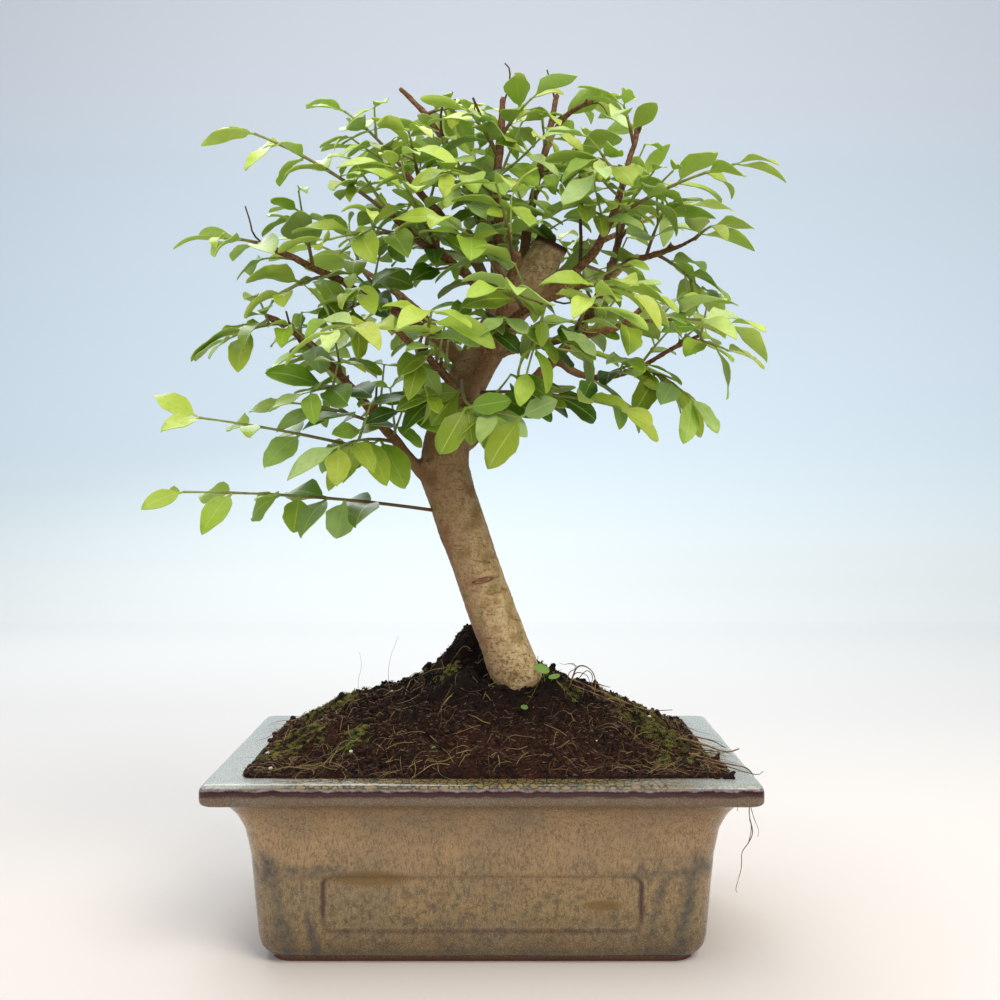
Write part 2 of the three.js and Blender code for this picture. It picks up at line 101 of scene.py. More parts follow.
def per(size: float) -> float:
    """The texture scale whose features are about that many millimetres wide."""
    return 1 / (size * MM)


def feed(node: Node, inputs: dict[int | str, Any]) -> None:
    """Links each input of a node to the output that is given for it, or sets it to the value."""
    for key, value in inputs.items():
        if isinstance(value, NodeSocket):
            node.id_data.links.new(value, node.inputs[key])
        elif value is not None:
            node.inputs[key].default_value = value


def add_node(tree: NodeTree, kind: str, *inputs: Any, out: int | str = 0, **settings: Any) -> NodeSocket:
    """Adds a shader node with its settings and links.

    Args:
        tree: The material's node tree.
        kind: The node's type without its ShaderNode prefix, and after a space its operation.
        inputs: An output or a value for each input in order; None leaves one as it is.
        out: Which output is wanted, by place or name.
        settings: Attributes, further inputs by name, and "stops" for the colours of a ramp.

    Returns:
        That output, which leads to the node's others.
    """
    kind, _, operation = kind.partition(" ")
    node = tree.nodes.new("ShaderNode" + kind)
    if operation:
        node.operation = operation
    stops = settings.pop("stops", ())
    if stops:
        ramp = node.color_ramp.elements
        ramp.remove(ramp[1])
        ramp[0].position, ramp[0].color = stops[0][0], linear(stops[0][1])
        for place, colour in stops[1:]:
            ramp.new(place).color = linear(colour)
    for key, value in settings.items():
        if hasattr(node, key):
            setattr(node, key, value)
        else:
            feed(node, {key: value})
    feed(node, dict(enumerate(inputs)))
    return node.outputs[out]


def over(share: NodeSocket, under: NodeSocket | str, top: NodeSocket | str) -> NodeSocket:
    """Lays one colour over another by a share from 0 to 1; each is painted, or plain and in hex."""
    under, top = (linear(colour) if isinstance(colour, str) else colour for colour in (under, top))
    return add_node(share.id_data, "Mix", share, *[None] * 5, under, top, out=2, data_type="RGBA")


class Finish:
    """What every finish shares: it is mixed once, and worn by every piece that asks for it."""

    def material(self) -> Material:
        """The finish as a material."""
        name = type(self).__name__
        if name not in bpy.data.materials:
            made = bpy.data.materials.new(name)
            made.use_nodes = True
            self.mix(partial(add_node, made.node_tree), made.node_tree.nodes["Principled BSDF"])
        return bpy.data.materials[name]

    def mix(self, add: Adder, shader: Node) -> None:
        """Sets up the shader of a finish, where add is add_node for its own tree."""
        raise NotImplementedError


@dataclass(frozen=True)
class AshGlaze(Finish):
    """Stoneware under a running ash glaze, fired glossy.

    It gives the eye tan-brown flecked with fine upright streaks, olive grey where it runs thin below,
    blue-grey drips at the corners, and a dark red line wherever it breaks over an edge, with a painted
    highlight above that line along the rim.
    """

    flow: tuple = (
        (0.0, "#4c3c2b"), (0.1, "#735c3c"), (0.3, "#8f774f"), (0.48, "#957a54"), (0.62, "#a5865f"),
        (0.8, "#a0815a"), (0.87, "#7c5e3b"), (0.884, "#4f4038"), (0.893, "#6a5746"), (0.93, "#655140"),
        (0.942, "#3a2a20"), (0.95, "#3a1a18"), (0.97, "#4c463a"),
    )
    streak: str = "#57402a"
    curd: str = "#4c4330"
    pale_fleck: str = "#b9a780"
    drip: str = "#444139"
    lip: str = "#bcbfb6"
    lip_vein: str = "#8e928a"
    lip_shade: str = "#34362c"
    ochre: str = "#8d7848"
    edge_line: str = "#3f2222"
    # Along the rim's front, the dark red line and a painted highlight above it: from which height to which,
    # how strong, how whole, colour
    rim_line_and_highlight: tuple = ((66.2, 67.9, 0.97, 1, "#330506"), (68.1, 68.6, 0.6, 0.25, "#9c959f"))
    clay: str = "#6b3b2a"
    streak_size: float = 0.68
    curd_size: float = 2.6
    fleck_size: float = 0.48
    sag_size: float = 6
    patch_size: float = 17
    pebble_size: float = 2.8
    clay_height: float = 1.4
    # Drips down the corners: half their width, and how far in x and z they stand at the foot
    drips: tuple = ((5.2, 73.5, 15, 45), (2.6, 62.5, 15, 34))
    drip_slope: float = 0.18
    # Ochre blotches on the front: middle in x and z, and half their size
    blotches: tuple = (((-41.4, 32.6), (16, 3.2)), ((44, 22.4), (8, 2.1)))

    def mix(self, add: Adder, shader: Node) -> None:
        """Colours by height, broken by streaks, flecks, drips, blotches, the panel's line, and the rim's line
        with a painted highlight above it.
        """
        place = add("TexCoord", out="Object")
        axes = add("SeparateXYZ", place).node.outputs
        runs = add("TexNoise", add("Mapping", place, Scale=(1, 1, 0.2)), Scale=per(7), Detail=3)
        shift = add("MapRange", runs, 0.2, 0.8, -5 * MM, 5 * MM)
        kept = add("Math MULTIPLY", shift, add("MapRange", axes[2], 50 * MM, 61 * MM, 1, 0))
        height = add("Math ADD", axes[2], kept)
        colour = add("ValToRGB", add("MapRange", height, 0, 70 * MM), stops=self.flow)

        patches = add("TexNoise", place, Scale=per(self.patch_size), Detail=4)
        colour = over(add("MapRange", patches, 0.42, 0.68, 0, 0.45), colour, "#6c6450")
        upright = add("Mapping", place, Scale=(1, 1, 0.3))
        fur = add("TexNoise", upright, Scale=per(self.streak_size), Detail=3, Roughness=0.65)
        streaks = add("MapRange", fur, 0.49, 0.62, 0, 0.6)
        colour = over(streaks, colour, self.streak)
        curds = add("TexNoise", place, Scale=per(self.curd_size), Detail=5, Roughness=0.7)
        thin = add("MapRange", height, 16 * MM, 44 * MM, 0.85, 0.3)
        colour = over(add("Math MULTIPLY", add("MapRange", curds, 0.48, 0.62), thin), colour, self.curd)
        specks = add("TexNoise", place, noise_dimensions="4D", W=3.0, Scale=per(self.fleck_size), Detail=2)
        colour = over(add("MapRange", specks, 0.52, 0.68, 0, 0.26), colour, self.pale_fleck)
        wavy = add("Math ADD", axes[2], add("MapRange", runs, 0.25, 0.75, -0.7 * MM, 0.7 * MM))
        # The rim's dark red line, and above it a painted highlight, torn into pieces
        for low, high, share_there, whole, line_colour in self.rim_line_and_highlight:
            begun = add("MapRange", wavy, (low - 0.4) * MM, low * MM, 0, share_there)
            band = add("Math MULTIPLY", begun, add("MapRange", wavy, high * MM, (high + 0.3) * MM, 1, 0))
            torn = add("MapRange", curds, 0.42, 0.58, whole, 1)
            band = add("Math MULTIPLY", band, torn)
            colour = over(band, colour, line_colour)

        for (x, z), (half_x, half_z) in self.blotches:
            scale = (per(half_x), 0, per(half_z))
            centred = add("Mapping", place, Location=(-x / half_x, 0, -z / half_z), Scale=scale)
            ragged = add("Math ADD", add("VectorMath LENGTH", centred, out="Value"), curds)
            blotch = add("MapRange", ragged, 1.15, 1.55, 0.75, 0)
            facing = add("MapRange", axes[1], -40 * MM, -45 * MM)
            colour = over(add("Math MULTIPLY", blotch, facing), colour, "#6c501c")

        outward = add("Math ABSOLUTE", axes[0])
        slope = self.drip_slope
        torn = add("Math MULTIPLY_ADD", patches, 7 * MM, -2.9 * MM)
        broken = add("MapRange", runs, 0.36, 0.6, 0.8, 1.1)
        mottled = add("MapRange", curds, 0.4, 0.56, 0.6, 1.05)
        broken = add("Math MULTIPLY", broken, mottled)
        for half, root_x, root_z, top in self.drips:
            start = (slope * root_z - root_x) * MM
            off = add("Math ADD", outward, add("Math MULTIPLY_ADD", height, -slope, start))
            frayed_off = add("Math ADD", add("Math ABSOLUTE", off), torn)
            band = add("MapRange", frayed_off, 0.4 * MM, half * MM, 0.9, 0)
            low = add("MapRange", axes[2], (top - 6) * MM, top * MM, 1, 0)
            drips = add("Math MULTIPLY", band, add("Math MULTIPLY", low, broken))
            colour = over(drips, colour, self.drip)

        begins = add("MapRange", height, 31 * MM, 35 * MM)
        seam = add("Math MULTIPLY", begins, add("MapRange", height, 35 * MM, 38 * MM, 1, 0))
        seam = add("Math MULTIPLY", seam, add("MapRange", outward, 40 * MM, 58 * MM, 0, 0.7))
        seam = add("Math MULTIPLY", seam, mottled)
        colour = over(seam, colour, self.drip)

        panel = add("UVMap", uv_map="panel")
        reach = add("VectorMath LENGTH", add("VectorMath MAXIMUM", panel), out="Value")
        line = add("Math SUBTRACT", reach, Pot.panel_corner * MM)
        drawn = add("MapRange", add("Math ABSOLUTE", line), 0.3 * MM, 1.3 * MM, 0.9, 0)
        fading = add("MapRange", axes[2], 31.5 * MM, 34 * MM, 1, 0.0)
        fading = add("Math MULTIPLY", fading, add("MapRange", axes[2], 16 * MM, 20 * MM, 0.5, 1))
        colour = over(add("Math MULTIPLY", drawn, fading), colour, self.edge_line)

        pebbles = add("TexVoronoi", place, Scale=per(self.pebble_size), feature="DISTANCE_TO_EDGE")
        stone = add("MapRange", pebbles, 0.03, 0.17, 0, 0.9)
        front = add("MapRange", axes[1], -52 * MM, -58 * MM)
        front = add("Math MULTIPLY", front, add("MapRange", outward, 64 * MM, 87 * MM, 1, 0.05))
        warm = add("Math MULTIPLY", stone, front)
        cool = over(add("MapRange", fur, 0.35, 0.6), self.lip, self.lip_vein)
        lip = over(warm, over(front, cool, self.lip_shade), self.ochre)
        colour = over(add("MapRange", axes[2], 68.6 * MM, 68.9 * MM), colour, lip)
        bare = add("MapRange", axes[2], (self.clay_height - 0.3) * MM, self.clay_height * MM, 1, 0)
        colour = over(bare, colour, self.clay)

        rough = add("Math MAXIMUM", add("MapRange", specks, 0.3, 0.7, 0.14, 0.32), bare)
        sags = add("TexNoise", place, Scale=per(self.sag_size), Detail=2)
        sagging = add("Bump", Strength=0.5, Distance=0.7 * MM, Height=sags)
        relief = add("Bump", Strength=0.35, Distance=0.12 * MM, Height=fur, Normal=sagging)
        feed(shader, {"Base Color": colour, "Roughness": rough, "IOR": 1.52, "Normal": relief})


@dataclass(frozen=True)
class NettingPlastic(Finish):
    """Moulded polyethylene netting. It gives the eye a waxy greenish black."""

    colour: str = "#22261f"

    def mix(self, add: Adder, shader: Node) -> None:
        """A plain dark plastic with a little soil dust in its hollows."""
        dust = add("TexNoise", Scale=per(3), Detail=3)
        colour = over(add("MapRange", dust, 0.5, 0.8, 0, 0.5), self.colour, "#4a3a2c")
        feed(shader, {"Base Color": colour, "Roughness": 0.5})


@dataclass(frozen=True)
class Peat(Finish):
    """Damp peat with bark fines, loosely heaped. It gives the eye near-black crumbs among red-brown dust."""

    dark: str = "#0c0705"
    middle: str = "#22140d"
    red: str = "#3f2115"
    green: str = "#3a4016"

    def mix(self, add: Adder, shader: Node) -> None:
        """Crumb-sized dark and light, with broad red-brown patches, greened where moss grows."""
        place = add("TexCoord", out="Object")
        crumb = add("TexNoise", place, Scale=per(1.6), Detail=6, Roughness=0.8)
        grains = add("TexVoronoi", place, Scale=per(1.15)).node.outputs
        shade = add("SeparateColor", grains["Color"])
        share = add("Mix", 0.5, None, add("MapRange", crumb, 0.3, 0.7), shade)
        stops = ((0.0, self.dark), (0.48, self.middle), (0.7, self.red), (0.84, "#5c3a27"), (1.0, "#9a7855"))
        colour = add("ValToRGB", share, stops=stops)
        broad = add("TexNoise", place, Scale=per(19), Detail=2)
        colour = over(add("MapRange", broad, 0.5, 0.66, 0, 0.5), colour, self.red)
        rise = add("SeparateXYZ", place, out=2)
        colour = over(add("MapRange", rise, 80 * MM, 95 * MM, 0, 0.8), colour, self.dark)
        moss = add("Attribute", attribute_name="moss", out="Fac")
        colour = over(add("Math MULTIPLY", moss, share), colour, self.green)
        height = add("Math ADD", crumb, add("MapRange", grains["Distance"], 0, 0.7, 0.5, 0))
        relief = add("Bump", Strength=1.0, Distance=0.8 * MM, Height=height)
        feed(shader, {"Base Color": colour, "Roughness": 0.95, "Specular IOR Level": 0.25, "Normal": relief})


@dataclass(frozen=True)
class Mottled(Finish):
    """A small dry or living surface in two colours, blotched over a few millimetres."""

    light: str = "#b99f68"
    dark: str = "#5d4325"
    blotch: float = 9
    roughness: float = 0.7
    sheen_through: float = 0.0

    def mix(self, add: Adder, shader: Node) -> None:
        """Two colours blotched together, and a little light let through where it is thin."""
        blotches = add("TexNoise", add("TexCoord", out="Object"), Scale=per(self.blotch), Detail=4)
        colour = over(add("MapRange", blotches, 0.35, 0.65), self.light, self.dark)
        feed(shader, {
            "Base Color": colour, "Roughness": self.roughness, "Subsurface Weight": self.sheen_through,
            "Subsurface Scale": MM,
        })


@dataclass(frozen=True)
class Straw(Mottled):
    """Dead rootlets and grass. They give the eye dull straw, browner in places."""


@dataclass(frozen=True)
class RootSkin(Mottled):
    """Live surface roots, corky. They give the eye tan over red-brown."""

    light: str = "#9d7a50"
    dark: str = "#4d3020"
    blotch: float = 3


@dataclass(frozen=True)
class Rootlet(Mottled):
    """Dead fine roots, peat-stained. They give the eye red-brown threads."""

    light: str = "#7a5236"
    dark: str = "#2f1c12"
    blotch: float = 4


@dataclass(frozen=True)
class Sliver(Mottled):
    """Bits of fibre and bark. They give the eye a fine scatter of tan and near-black."""

    light: str = "#80603d"
    dark: str = "#1f120b"
    blotch: float = 1.6


@dataclass(frozen=True)
class GrassStem(Mottled):
    """Lying stems of grass and weed. They give the eye olive green that dries to straw."""

    light: str = "#72752f"
    dark: str = "#a08045"


@dataclass(frozen=True)
class DeadBark(Mottled):
    """Dry bark of twigs that died back. It gives the eye dark red-brown."""

    light: str = "#6b4835"
    dark: str = "#33211a"
    blotch: float = 2


@dataclass(frozen=True)
class Moss(Mottled):
    """Cushion moss, one leafy thread beside the other. It gives the eye soft yellow-green over deep green."""

    light: str = "#75872c"
    dark: str = "#2b3f15"
    blotch: float = 5
    sheen_through: float = 0.2


@dataclass(frozen=True)
class Seedling(Mottled):
    """The seed leaves of a weed, smooth and thin. They give the eye a fresh blue-green."""

    light: str = "#6f9438"
    dark: str = "#4f752c"
    roughness: float = 0.6
    sheen_through: float = 0.15


@dataclass(frozen=True)
class Perlite(Mottled):
    """Expanded glass grit. It gives the eye chalky white specks."""

    light: str = "#e6e6dc"
    dark: str = "#b9bdb2"
    blotch: float = 1
    roughness: float = 0.9


@dataclass(frozen=True)
class PrivetBark(Finish):
    """The smooth bark of a privet. It gives the eye beige olive with pink-brown patches and dark freckles
    on old wood, and red-brown on young; the upper trunk is painted darker and redder as shade under the
    crown."""

    beige: str = "#b69c6e"
    pale: str = "#cdb68a"
    olive: str = "#8e7d4e"
    pink: str = "#996d50"
    freckle: str = "#43371f"
    lenticel: str = "#5b3422"
    mottle: str = "#6c5638"
    # Painted shade under the crown, in darker red-brown over the upper trunk
    upper: str = "#755133"
    sawn: str = "#85704a"
    cut_edge: str = "#3f2119"
    young: tuple = ((0.3, "#372417"), (0.47, "#69492f"), (0.58, "#876241"), (0.72, "#b38b64"))
    scar: tuple = ((0.0, "#96705a"), (0.3, "#5f3c2b"), (0.5, "#a1795c"), (0.72, "#4a2c1f"), (0.95, "#8d7050"))
    scar_middle: tuple = (-0.2, -17.5, 138.2)
    scar_half: tuple = (5.0, 1.25)
    scar_tilt: float = 0.24
    patch_size: float = 9
    freckle_size: float = 1.15
    grain_size: float = 1.2

    def mix(self, add: Adder, shader: Node) -> None:
        """Broad patches, freckles across the grain, the scar, painted shade under the crown, and the wood's
        own age and cut.
        """
        place = add("TexCoord", out="Object")
        wood = add("Attribute", attribute_name="wood", out="Color")
        young, cut, edge = add("SeparateColor", wood).node.outputs[:3]
        broad = add("TexNoise", place, Scale=per(self.patch_size), Detail=5)
        stops = (
            (0.32, self.olive), (0.43, self.beige), (0.52, self.pale), (0.6, self.beige), (0.7, self.olive)
        )
        colour = add("ValToRGB", broad, stops=stops)
        sideways, facing, rise = add("SeparateXYZ", place).node.outputs[:3]
        left = add("MapRange", add("Math MULTIPLY_ADD", rise, 0.34, sideways), 37 * MM, 50 * MM, 0.85, 0)
        flushed = add("MapRange", broad, 0.38, 0.55, 0.25, 1)
        colour = over(add("Math MULTIPLY", left, flushed), colour, self.pink)
        # Painted shade under the crown: darker red-brown from 122 mm up, easing off above 246 mm
        crown_shade = add("MapRange", rise, 122 * MM, 190 * MM, 0, 0.88)
        crown_shade = add("Math MULTIPLY", crown_shade, add("MapRange", rise, 246 * MM, 262 * MM, 1, 0.15))
        crown_shade = add("Math MULTIPLY", crown_shade, add("MapRange", broad, 0.35, 0.6, 0.4, 1))
        colour = over(crown_shade, colour, self.upper)
        grain = add("TexNoise", place, Scale=per(self.grain_size), Detail=6, Roughness=0.75)
        colour = over(add("MapRange", grain, 0.46, 0.62, 0, 0.62), colour, self.mottle)

        flat = add("Mapping", place, Rotation=(0, -0.33, 0), Scale=(0.8, 0.8, 1))
        spots = add("TexNoise", flat, Scale=per(self.freckle_size), Detail=2)
        crowd = add("TexNoise", place, Scale=per(14), Detail=3)
        low = add("MapRange", rise, 92 * MM, 128 * MM, 0.1, 0)
        over_bar = add("Math SUBTRACT", spots, add("MapRange", crowd, 0.3, 0.7, 0.76, 0.58))
        over_bar = add("Math ADD", over_bar, low)
        freckles = add("MapRange", over_bar, -0.02, 0.07, 0, 0.62)
        colour = over(freckles, colour, self.freckle)
        long = add("Mapping", place, Rotation=(0, -0.33, 0), Scale=(0.3, 0.3, 1.5))
        dashes = add("TexNoise", long, noise_dimensions="4D", W=5.0, Scale=per(1.7), Detail=1)
        colour = over(add("MapRange", dashes, 0.62, 0.7, 0, 0.5), colour, self.lenticel)

        x, y, z = (value * MM for value in self.scar_middle)
        half_x, half_z = (value * MM for value in self.scar_half)
        shaped = add(
            "Mapping", place, vector_type="TEXTURE", Location=(x, y, z),
            Rotation=(0, -self.scar_tilt, 0), Scale=(half_x, 1, half_z),
        )
        off = add("VectorMath LENGTH", shaped, out="Value")
        ragged = add("Math ADD", off, add("Math MULTIPLY_ADD", grain, 1.3, -0.65))
        healed = add("ValToRGB", ragged, stops=self.scar)
        inside = add("MapRange", ragged, 0.98, 1.12, 1, 0)
        front = add("MapRange", facing, -11 * MM, -9 * MM, 1, 0)
        colour = over(add("Math MULTIPLY", inside, front), colour, healed)

        # The young channel also holds painted crown shade on the upper trunk, drawn in the young bark's
        # red-browns
        colour = over(young, colour, add("ValToRGB", grain, stops=self.young))
        colour = over(cut, colour, self.sawn)
        colour = over(edge, colour, self.cut_edge)
        relief = add("Bump", Strength=0.7, Distance=0.4 * MM, Height=grain)
        feed(shader, {"Base Color": colour, "Roughness": 0.72, "Specular IOR Level": 0.2, "Normal": relief})


@dataclass(frozen=True)
class TwigBark(Finish):
    """This year's and last year's twigs. They give the eye red-brown that turns green towards the tips."""

    old: str = "#6e4a33"
    green: str = "#8f9f45"

    def mix(self, add: Adder, shader: Node) -> None:
        """The twig's age comes from its thickness, kept as an attribute."""
        place = add("TexCoord", out="Object")
        age = add("Attribute", attribute_name="age", out="Fac")
        grain = add("TexNoise", place, Scale=per(1.5), Detail=4)
        colour = over(age, self.green, self.old)
        colour = over(add("MapRange", grain, 0.45, 0.7, 0, 0.5), colour, "#4a3323")
        feed(shader, {"Base Color": colour, "Roughness": 0.6})


@dataclass(frozen=True)
class PrivetLeaf(Finish):
    """A privet's leaf, leathery and waxed on top. It gives the eye bright yellow-green on young leaves and
    deeper green on old ones, a pale midrib, a soft gloss, and a glow where light comes through. The old
    leaves' deep greens also stand as painted shade inside and low in the crown."""

    # Greens from young to old; the old leaves' deep greens also stand as painted shade inside and low in the
    # crown
    ages: tuple = ((0.0, "#cdd76a"), (0.3, "#b8cb50"), (0.6, "#94ac30"), (0.85, "#52740f"), (1.0, "#2b4506"))
    underside: str = "#92a552"
    midrib: str = "#b7cc6e"
    margin: str = "#9ab84a"
    veins: int = 6

    def mix(self, add: Adder, shader: Node) -> None:
        """The leaf's age, tone and side come from its attribute, and its ribs from its own UV map."""
        place = add("TexCoord", out="Object")
        leaf = add("Attribute", attribute_name="leaf", out="Color")
        age, tone, under = add("SeparateColor", leaf).node.outputs[:3]
        colour = add("ValToRGB", age, stops=self.ages)
        lift = add("MapRange", tone, 0, 1, 0.82, 1.2)
        hue = add("MapRange", tone, 0, 1, 0.486, 0.52)
        bloom = add("MapRange", tone, 0.72, 0.9, 1, 0.72)
        colour = add("HueSaturation", Color=colour, Value=lift, Hue=hue, Saturation=bloom)
        cells = add("TexNoise", place, Scale=per(2.4), Detail=3)
        colour = over(add("MapRange", cells, 0.45, 0.75, 0, 0.25), colour, "#5f842a")
        across, along = add("SeparateXYZ", add("UVMap", uv_map="blade")).node.outputs[:2]
        off = add("Math ABSOLUTE", add("Math SUBTRACT", across, 0.5))
        turns = add("Math MULTIPLY", add("Math MULTIPLY_ADD", off, -0.55, along), 2 * pi * self.veins)
        vein = add("MapRange", add("Math COSINE", turns), 0.9, 1, 0, 0.18)
        colour = over(vein, colour, self.margin)
        rib = add("MapRange", off, 0.01, 0.035, 0.55, 0)
        colour = over(rib, colour, self.midrib)
        colour = over(add("MapRange", off, 0.46, 0.5, 0, 0.4), colour, self.margin)
        pale = add("Math MULTIPLY", under, 0.55)
        colour = over(pale, colour, self.underside)
        rough = add("MapRange", under, 0, 1, 0.38, 0.65)
        height = add("Math ADD", vein, rib)
        relief = add("Bump", Strength=0.35, Distance=0.2 * MM, invert=True, Height=height)
        feed(shader, {
            "Base Color": colour, "Roughness": rough, "Specular IOR Level": 0.3, "Subsurface Weight": 0.24,
            "Subsurface Radius": (0.55, 1.0, 0.15), "Subsurface Scale": 1.2 * MM, "Normal": relief,
        })


@dataclass(frozen=True)
class StudioPaper(Finish):
    """A matt paper sweep. It gives the eye warm white underfoot, turning to pale sky blue above."""

    stops: tuple = (
        (0.0, "#e3dcd5"), (0.002, "#d9d5d1"), (0.0045, "#dadad8"), (0.006, "#e1e2e0"), (0.009, "#e9ebe9"),
        (0.0115, "#ebedeb"), (0.018, "#ebefed"), (0.036, "#ebf0ef"), (0.068, "#ebf4f5"),
        (0.11, "#e7f4f9"), (0.165, "#e1f1fb"), (0.26, "#dfeefa"), (0.43, "#dae8f4"), (0.56, "#dfe5ef"),
    )
    height: float = 1500
    floor_share: float = 0.012

    def mix(self, add: Adder, shader: Node) -> None:
        """The colour follows the way back along the floor and the height up the sweep, and the floor carries
        painted light, a little darker on the left and lighter on the right.
        """
        axes = add("SeparateXYZ", add("TexCoord", out="Object")).node.outputs
        rise = add("Math MULTIPLY_ADD", axes[1], self.floor_share, axes[2])
        colour = add("ValToRGB", add("MapRange", rise, 0, self.height * MM), stops=self.stops)
        # Painted light on the floor: darker to the left, lighter to the right, fading out by 40 mm up the
        # sweep
        sides = add("MapRange", axes[0], -220 * MM, 220 * MM, 0.955, 1.02)
        level = add("Mix", add("MapRange", axes[2], 0, 40 * MM), None, sides, 1.0)
        colour = add("HueSaturation", Color=colour, Value=level)
        feed(shader, {"Base Color": colour, "Roughness": 0.9})


# Shaping


def used_up(bm: BMesh, name: str = "blank") -> Mesh:
    """A mesh block made of a working mesh, which is freed."""
    mesh = bpy.data.meshes.new(name)
    bm.to_mesh(mesh)
    bm.free()
    return mesh


def on_scene(name: str, data: bpy.types.ID) -> Object:
    """A new object in the scene's collection."""
    holder = bpy.data.objects.new(name, data)
    bpy.context.scene.collection.objects.link(holder)
    return holder


def evaluated(holder: Object) -> BMesh:
    """The working mesh that an object comes to after its modifiers or its bevel."""
    mesh = bpy.data.meshes.new_from_object(holder.evaluated_get(bpy.context.evaluated_depsgraph_get()))
    bm = bmesh.new()
    bm.from_mesh(mesh)
    bpy.data.meshes.remove(mesh)
    return bm


def finder(points: Iterable[Vector]) -> KDTree:
    """A search tree over points, by their number."""
    points = list(points)
    tree = KDTree(len(points))
    for i, point in enumerate(points):
        tree.insert(point, i)
    tree.balance()
    return tree


def closed_up(bm: BMesh) -> None:
    """Closes a mesh's open ends with triangles and turns all its faces outward."""
    bmesh.ops.holes_fill(bm, edges=[edge for edge in bm.edges if edge.is_boundary], sides=0)
    bmesh.ops.triangulate(bm, faces=[face for face in bm.faces if len(face.verts) > 4])
    bmesh.ops.recalc_face_normals(bm, faces=bm.faces)


def eased(low: float, high: float, value: float) -> float:
    """A soft step from 0 at low to 1 at high."""
    t = min(max((value - low) / (high - low), 0.0), 1.0)
    return t * t * (3 - 2 * t)


def rough(point: Vector, size: float, octaves: int = 3) -> float:
    """Fractal noise between about -1 and 1, its largest swell as wide as the size given."""
    return noise.fractal(point / size, 1.0, 2.0, octaves)


def sheet(bm: BMesh, columns: int, rows: int, place: Callable[[int, int], Vector]) -> None:
    """Lays a grid in a mesh and puts each of its points where a rule says.

    Args:
        bm: The mesh to add it to.
        columns: Faces along the grid's first way.
        rows: Faces along its second.
        place: Gives a point's place from its column and row.
    """
    for vert in bmesh.ops.create_grid(bm, x_segments=columns, y_segments=rows, size=0.5)["verts"]:
        vert.co = place(round((vert.co.x + 0.5) * columns), round((vert.co.y + 0.5) * rows))


def tubes(runs: Sequence[tuple[Sequence[Vector], Sequence[float]]], roundness: int) -> BMesh:
    """Closed tubes along runs of points.

    Args:
        runs: For each tube its points and its radius at each of them.
        roundness: The curve's bevel resolution: 0 gives 4 sides, 1 gives 6, 4 gives 12.

    Returns:
        One mesh with all the tubes.
    """
    curve = bpy.data.curves.new("runs", "CURVE")
    curve.dimensions = "3D"
    curve.bevel_depth = 1
    curve.bevel_resolution = roundness
    curve.use_fill_caps = True
    for points, radii in runs:
        spline = curve.splines.new("POLY")
        spline.points.add(len(points) - 1)
        for knot, point, radius in zip(spline.points, points, radii):
            knot.co = (*point, 1)
            knot.radius = radius
    bm = evaluated(on_scene("runs", curve))
    bpy.data.curves.remove(curve)
    return bm


def modified(bm: BMesh, kind: str, settings: dict) -> BMesh:
    """Passes a mesh through one modifier.

    Args:
        bm: The mesh, which is used up.
        kind: The modifier's type.
        settings: Its settings; a mesh given as "object" is used up as its cutter.

    Returns:
        The mesh that comes out.
    """
    blanks = [on_scene("blank", used_up(bm))]
    step = blanks[0].modifiers.new(kind, kind)
    for key, value in settings.items():
        if isinstance(value, BMesh):
            blanks.append(on_scene("blank", used_up(value)))
            value = blanks[-1]
        setattr(step, key, value)
    result = evaluated(blanks[0])
    for blank in blanks:
        bpy.data.meshes.remove(blank.data)
    return result


def strew(template: BMesh, places: Sequence[Matrix]) -> BMesh:
    """Sets a copy of a small mesh at each of many places.

    Args:
        template: The small mesh, which is used up.
        places: A transform for each copy.

    Returns:
        One mesh with all the copies.
    """
    pattern = used_up(template)
    bm = bmesh.new()
    for _ in places:
        bm.from_mesh(pattern)
    verts = list(bm.verts)
    each = len(pattern.vertices)
    for i, place in enumerate(places):
        for vert in verts[i * each:(i + 1) * each]:
            vert.co = place @ vert.co
    bpy.data.meshes.remove(pattern)
    return bm


def finished(name: str, bm: BMesh, finish: Finish, slot: Slot, replaced: Iterable[str] = (),
             sharp: float = radians(50)) -> None:
    """Makes a piece of a mesh, dresses it and ties it to the frame.

    Args:
        name: The piece's name.
        bm: Its mesh in millimetres, which is used up.
        finish: What it wears.
        slot: The record's slot for its finish; not used.
        replaced: The frame's nodes that it stands for.
        sharp: Edges that fold more than this stay crisp.
    """
    bmesh.ops.scale(bm, vec=(MM, MM, MM), verts=bm.verts)
    mesh = used_up(bm, name)
    mesh.materials.append(finish.material())
    mesh.shade_smooth()
    mesh.set_sharp_from_angle(angle=sharp)
    piece = on_scene(name, mesh)
    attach(piece, "root")
    if replaced:
        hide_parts(*replaced)
    LOG.info("%s: %d faces", name, len(mesh.polygons))


# Pot


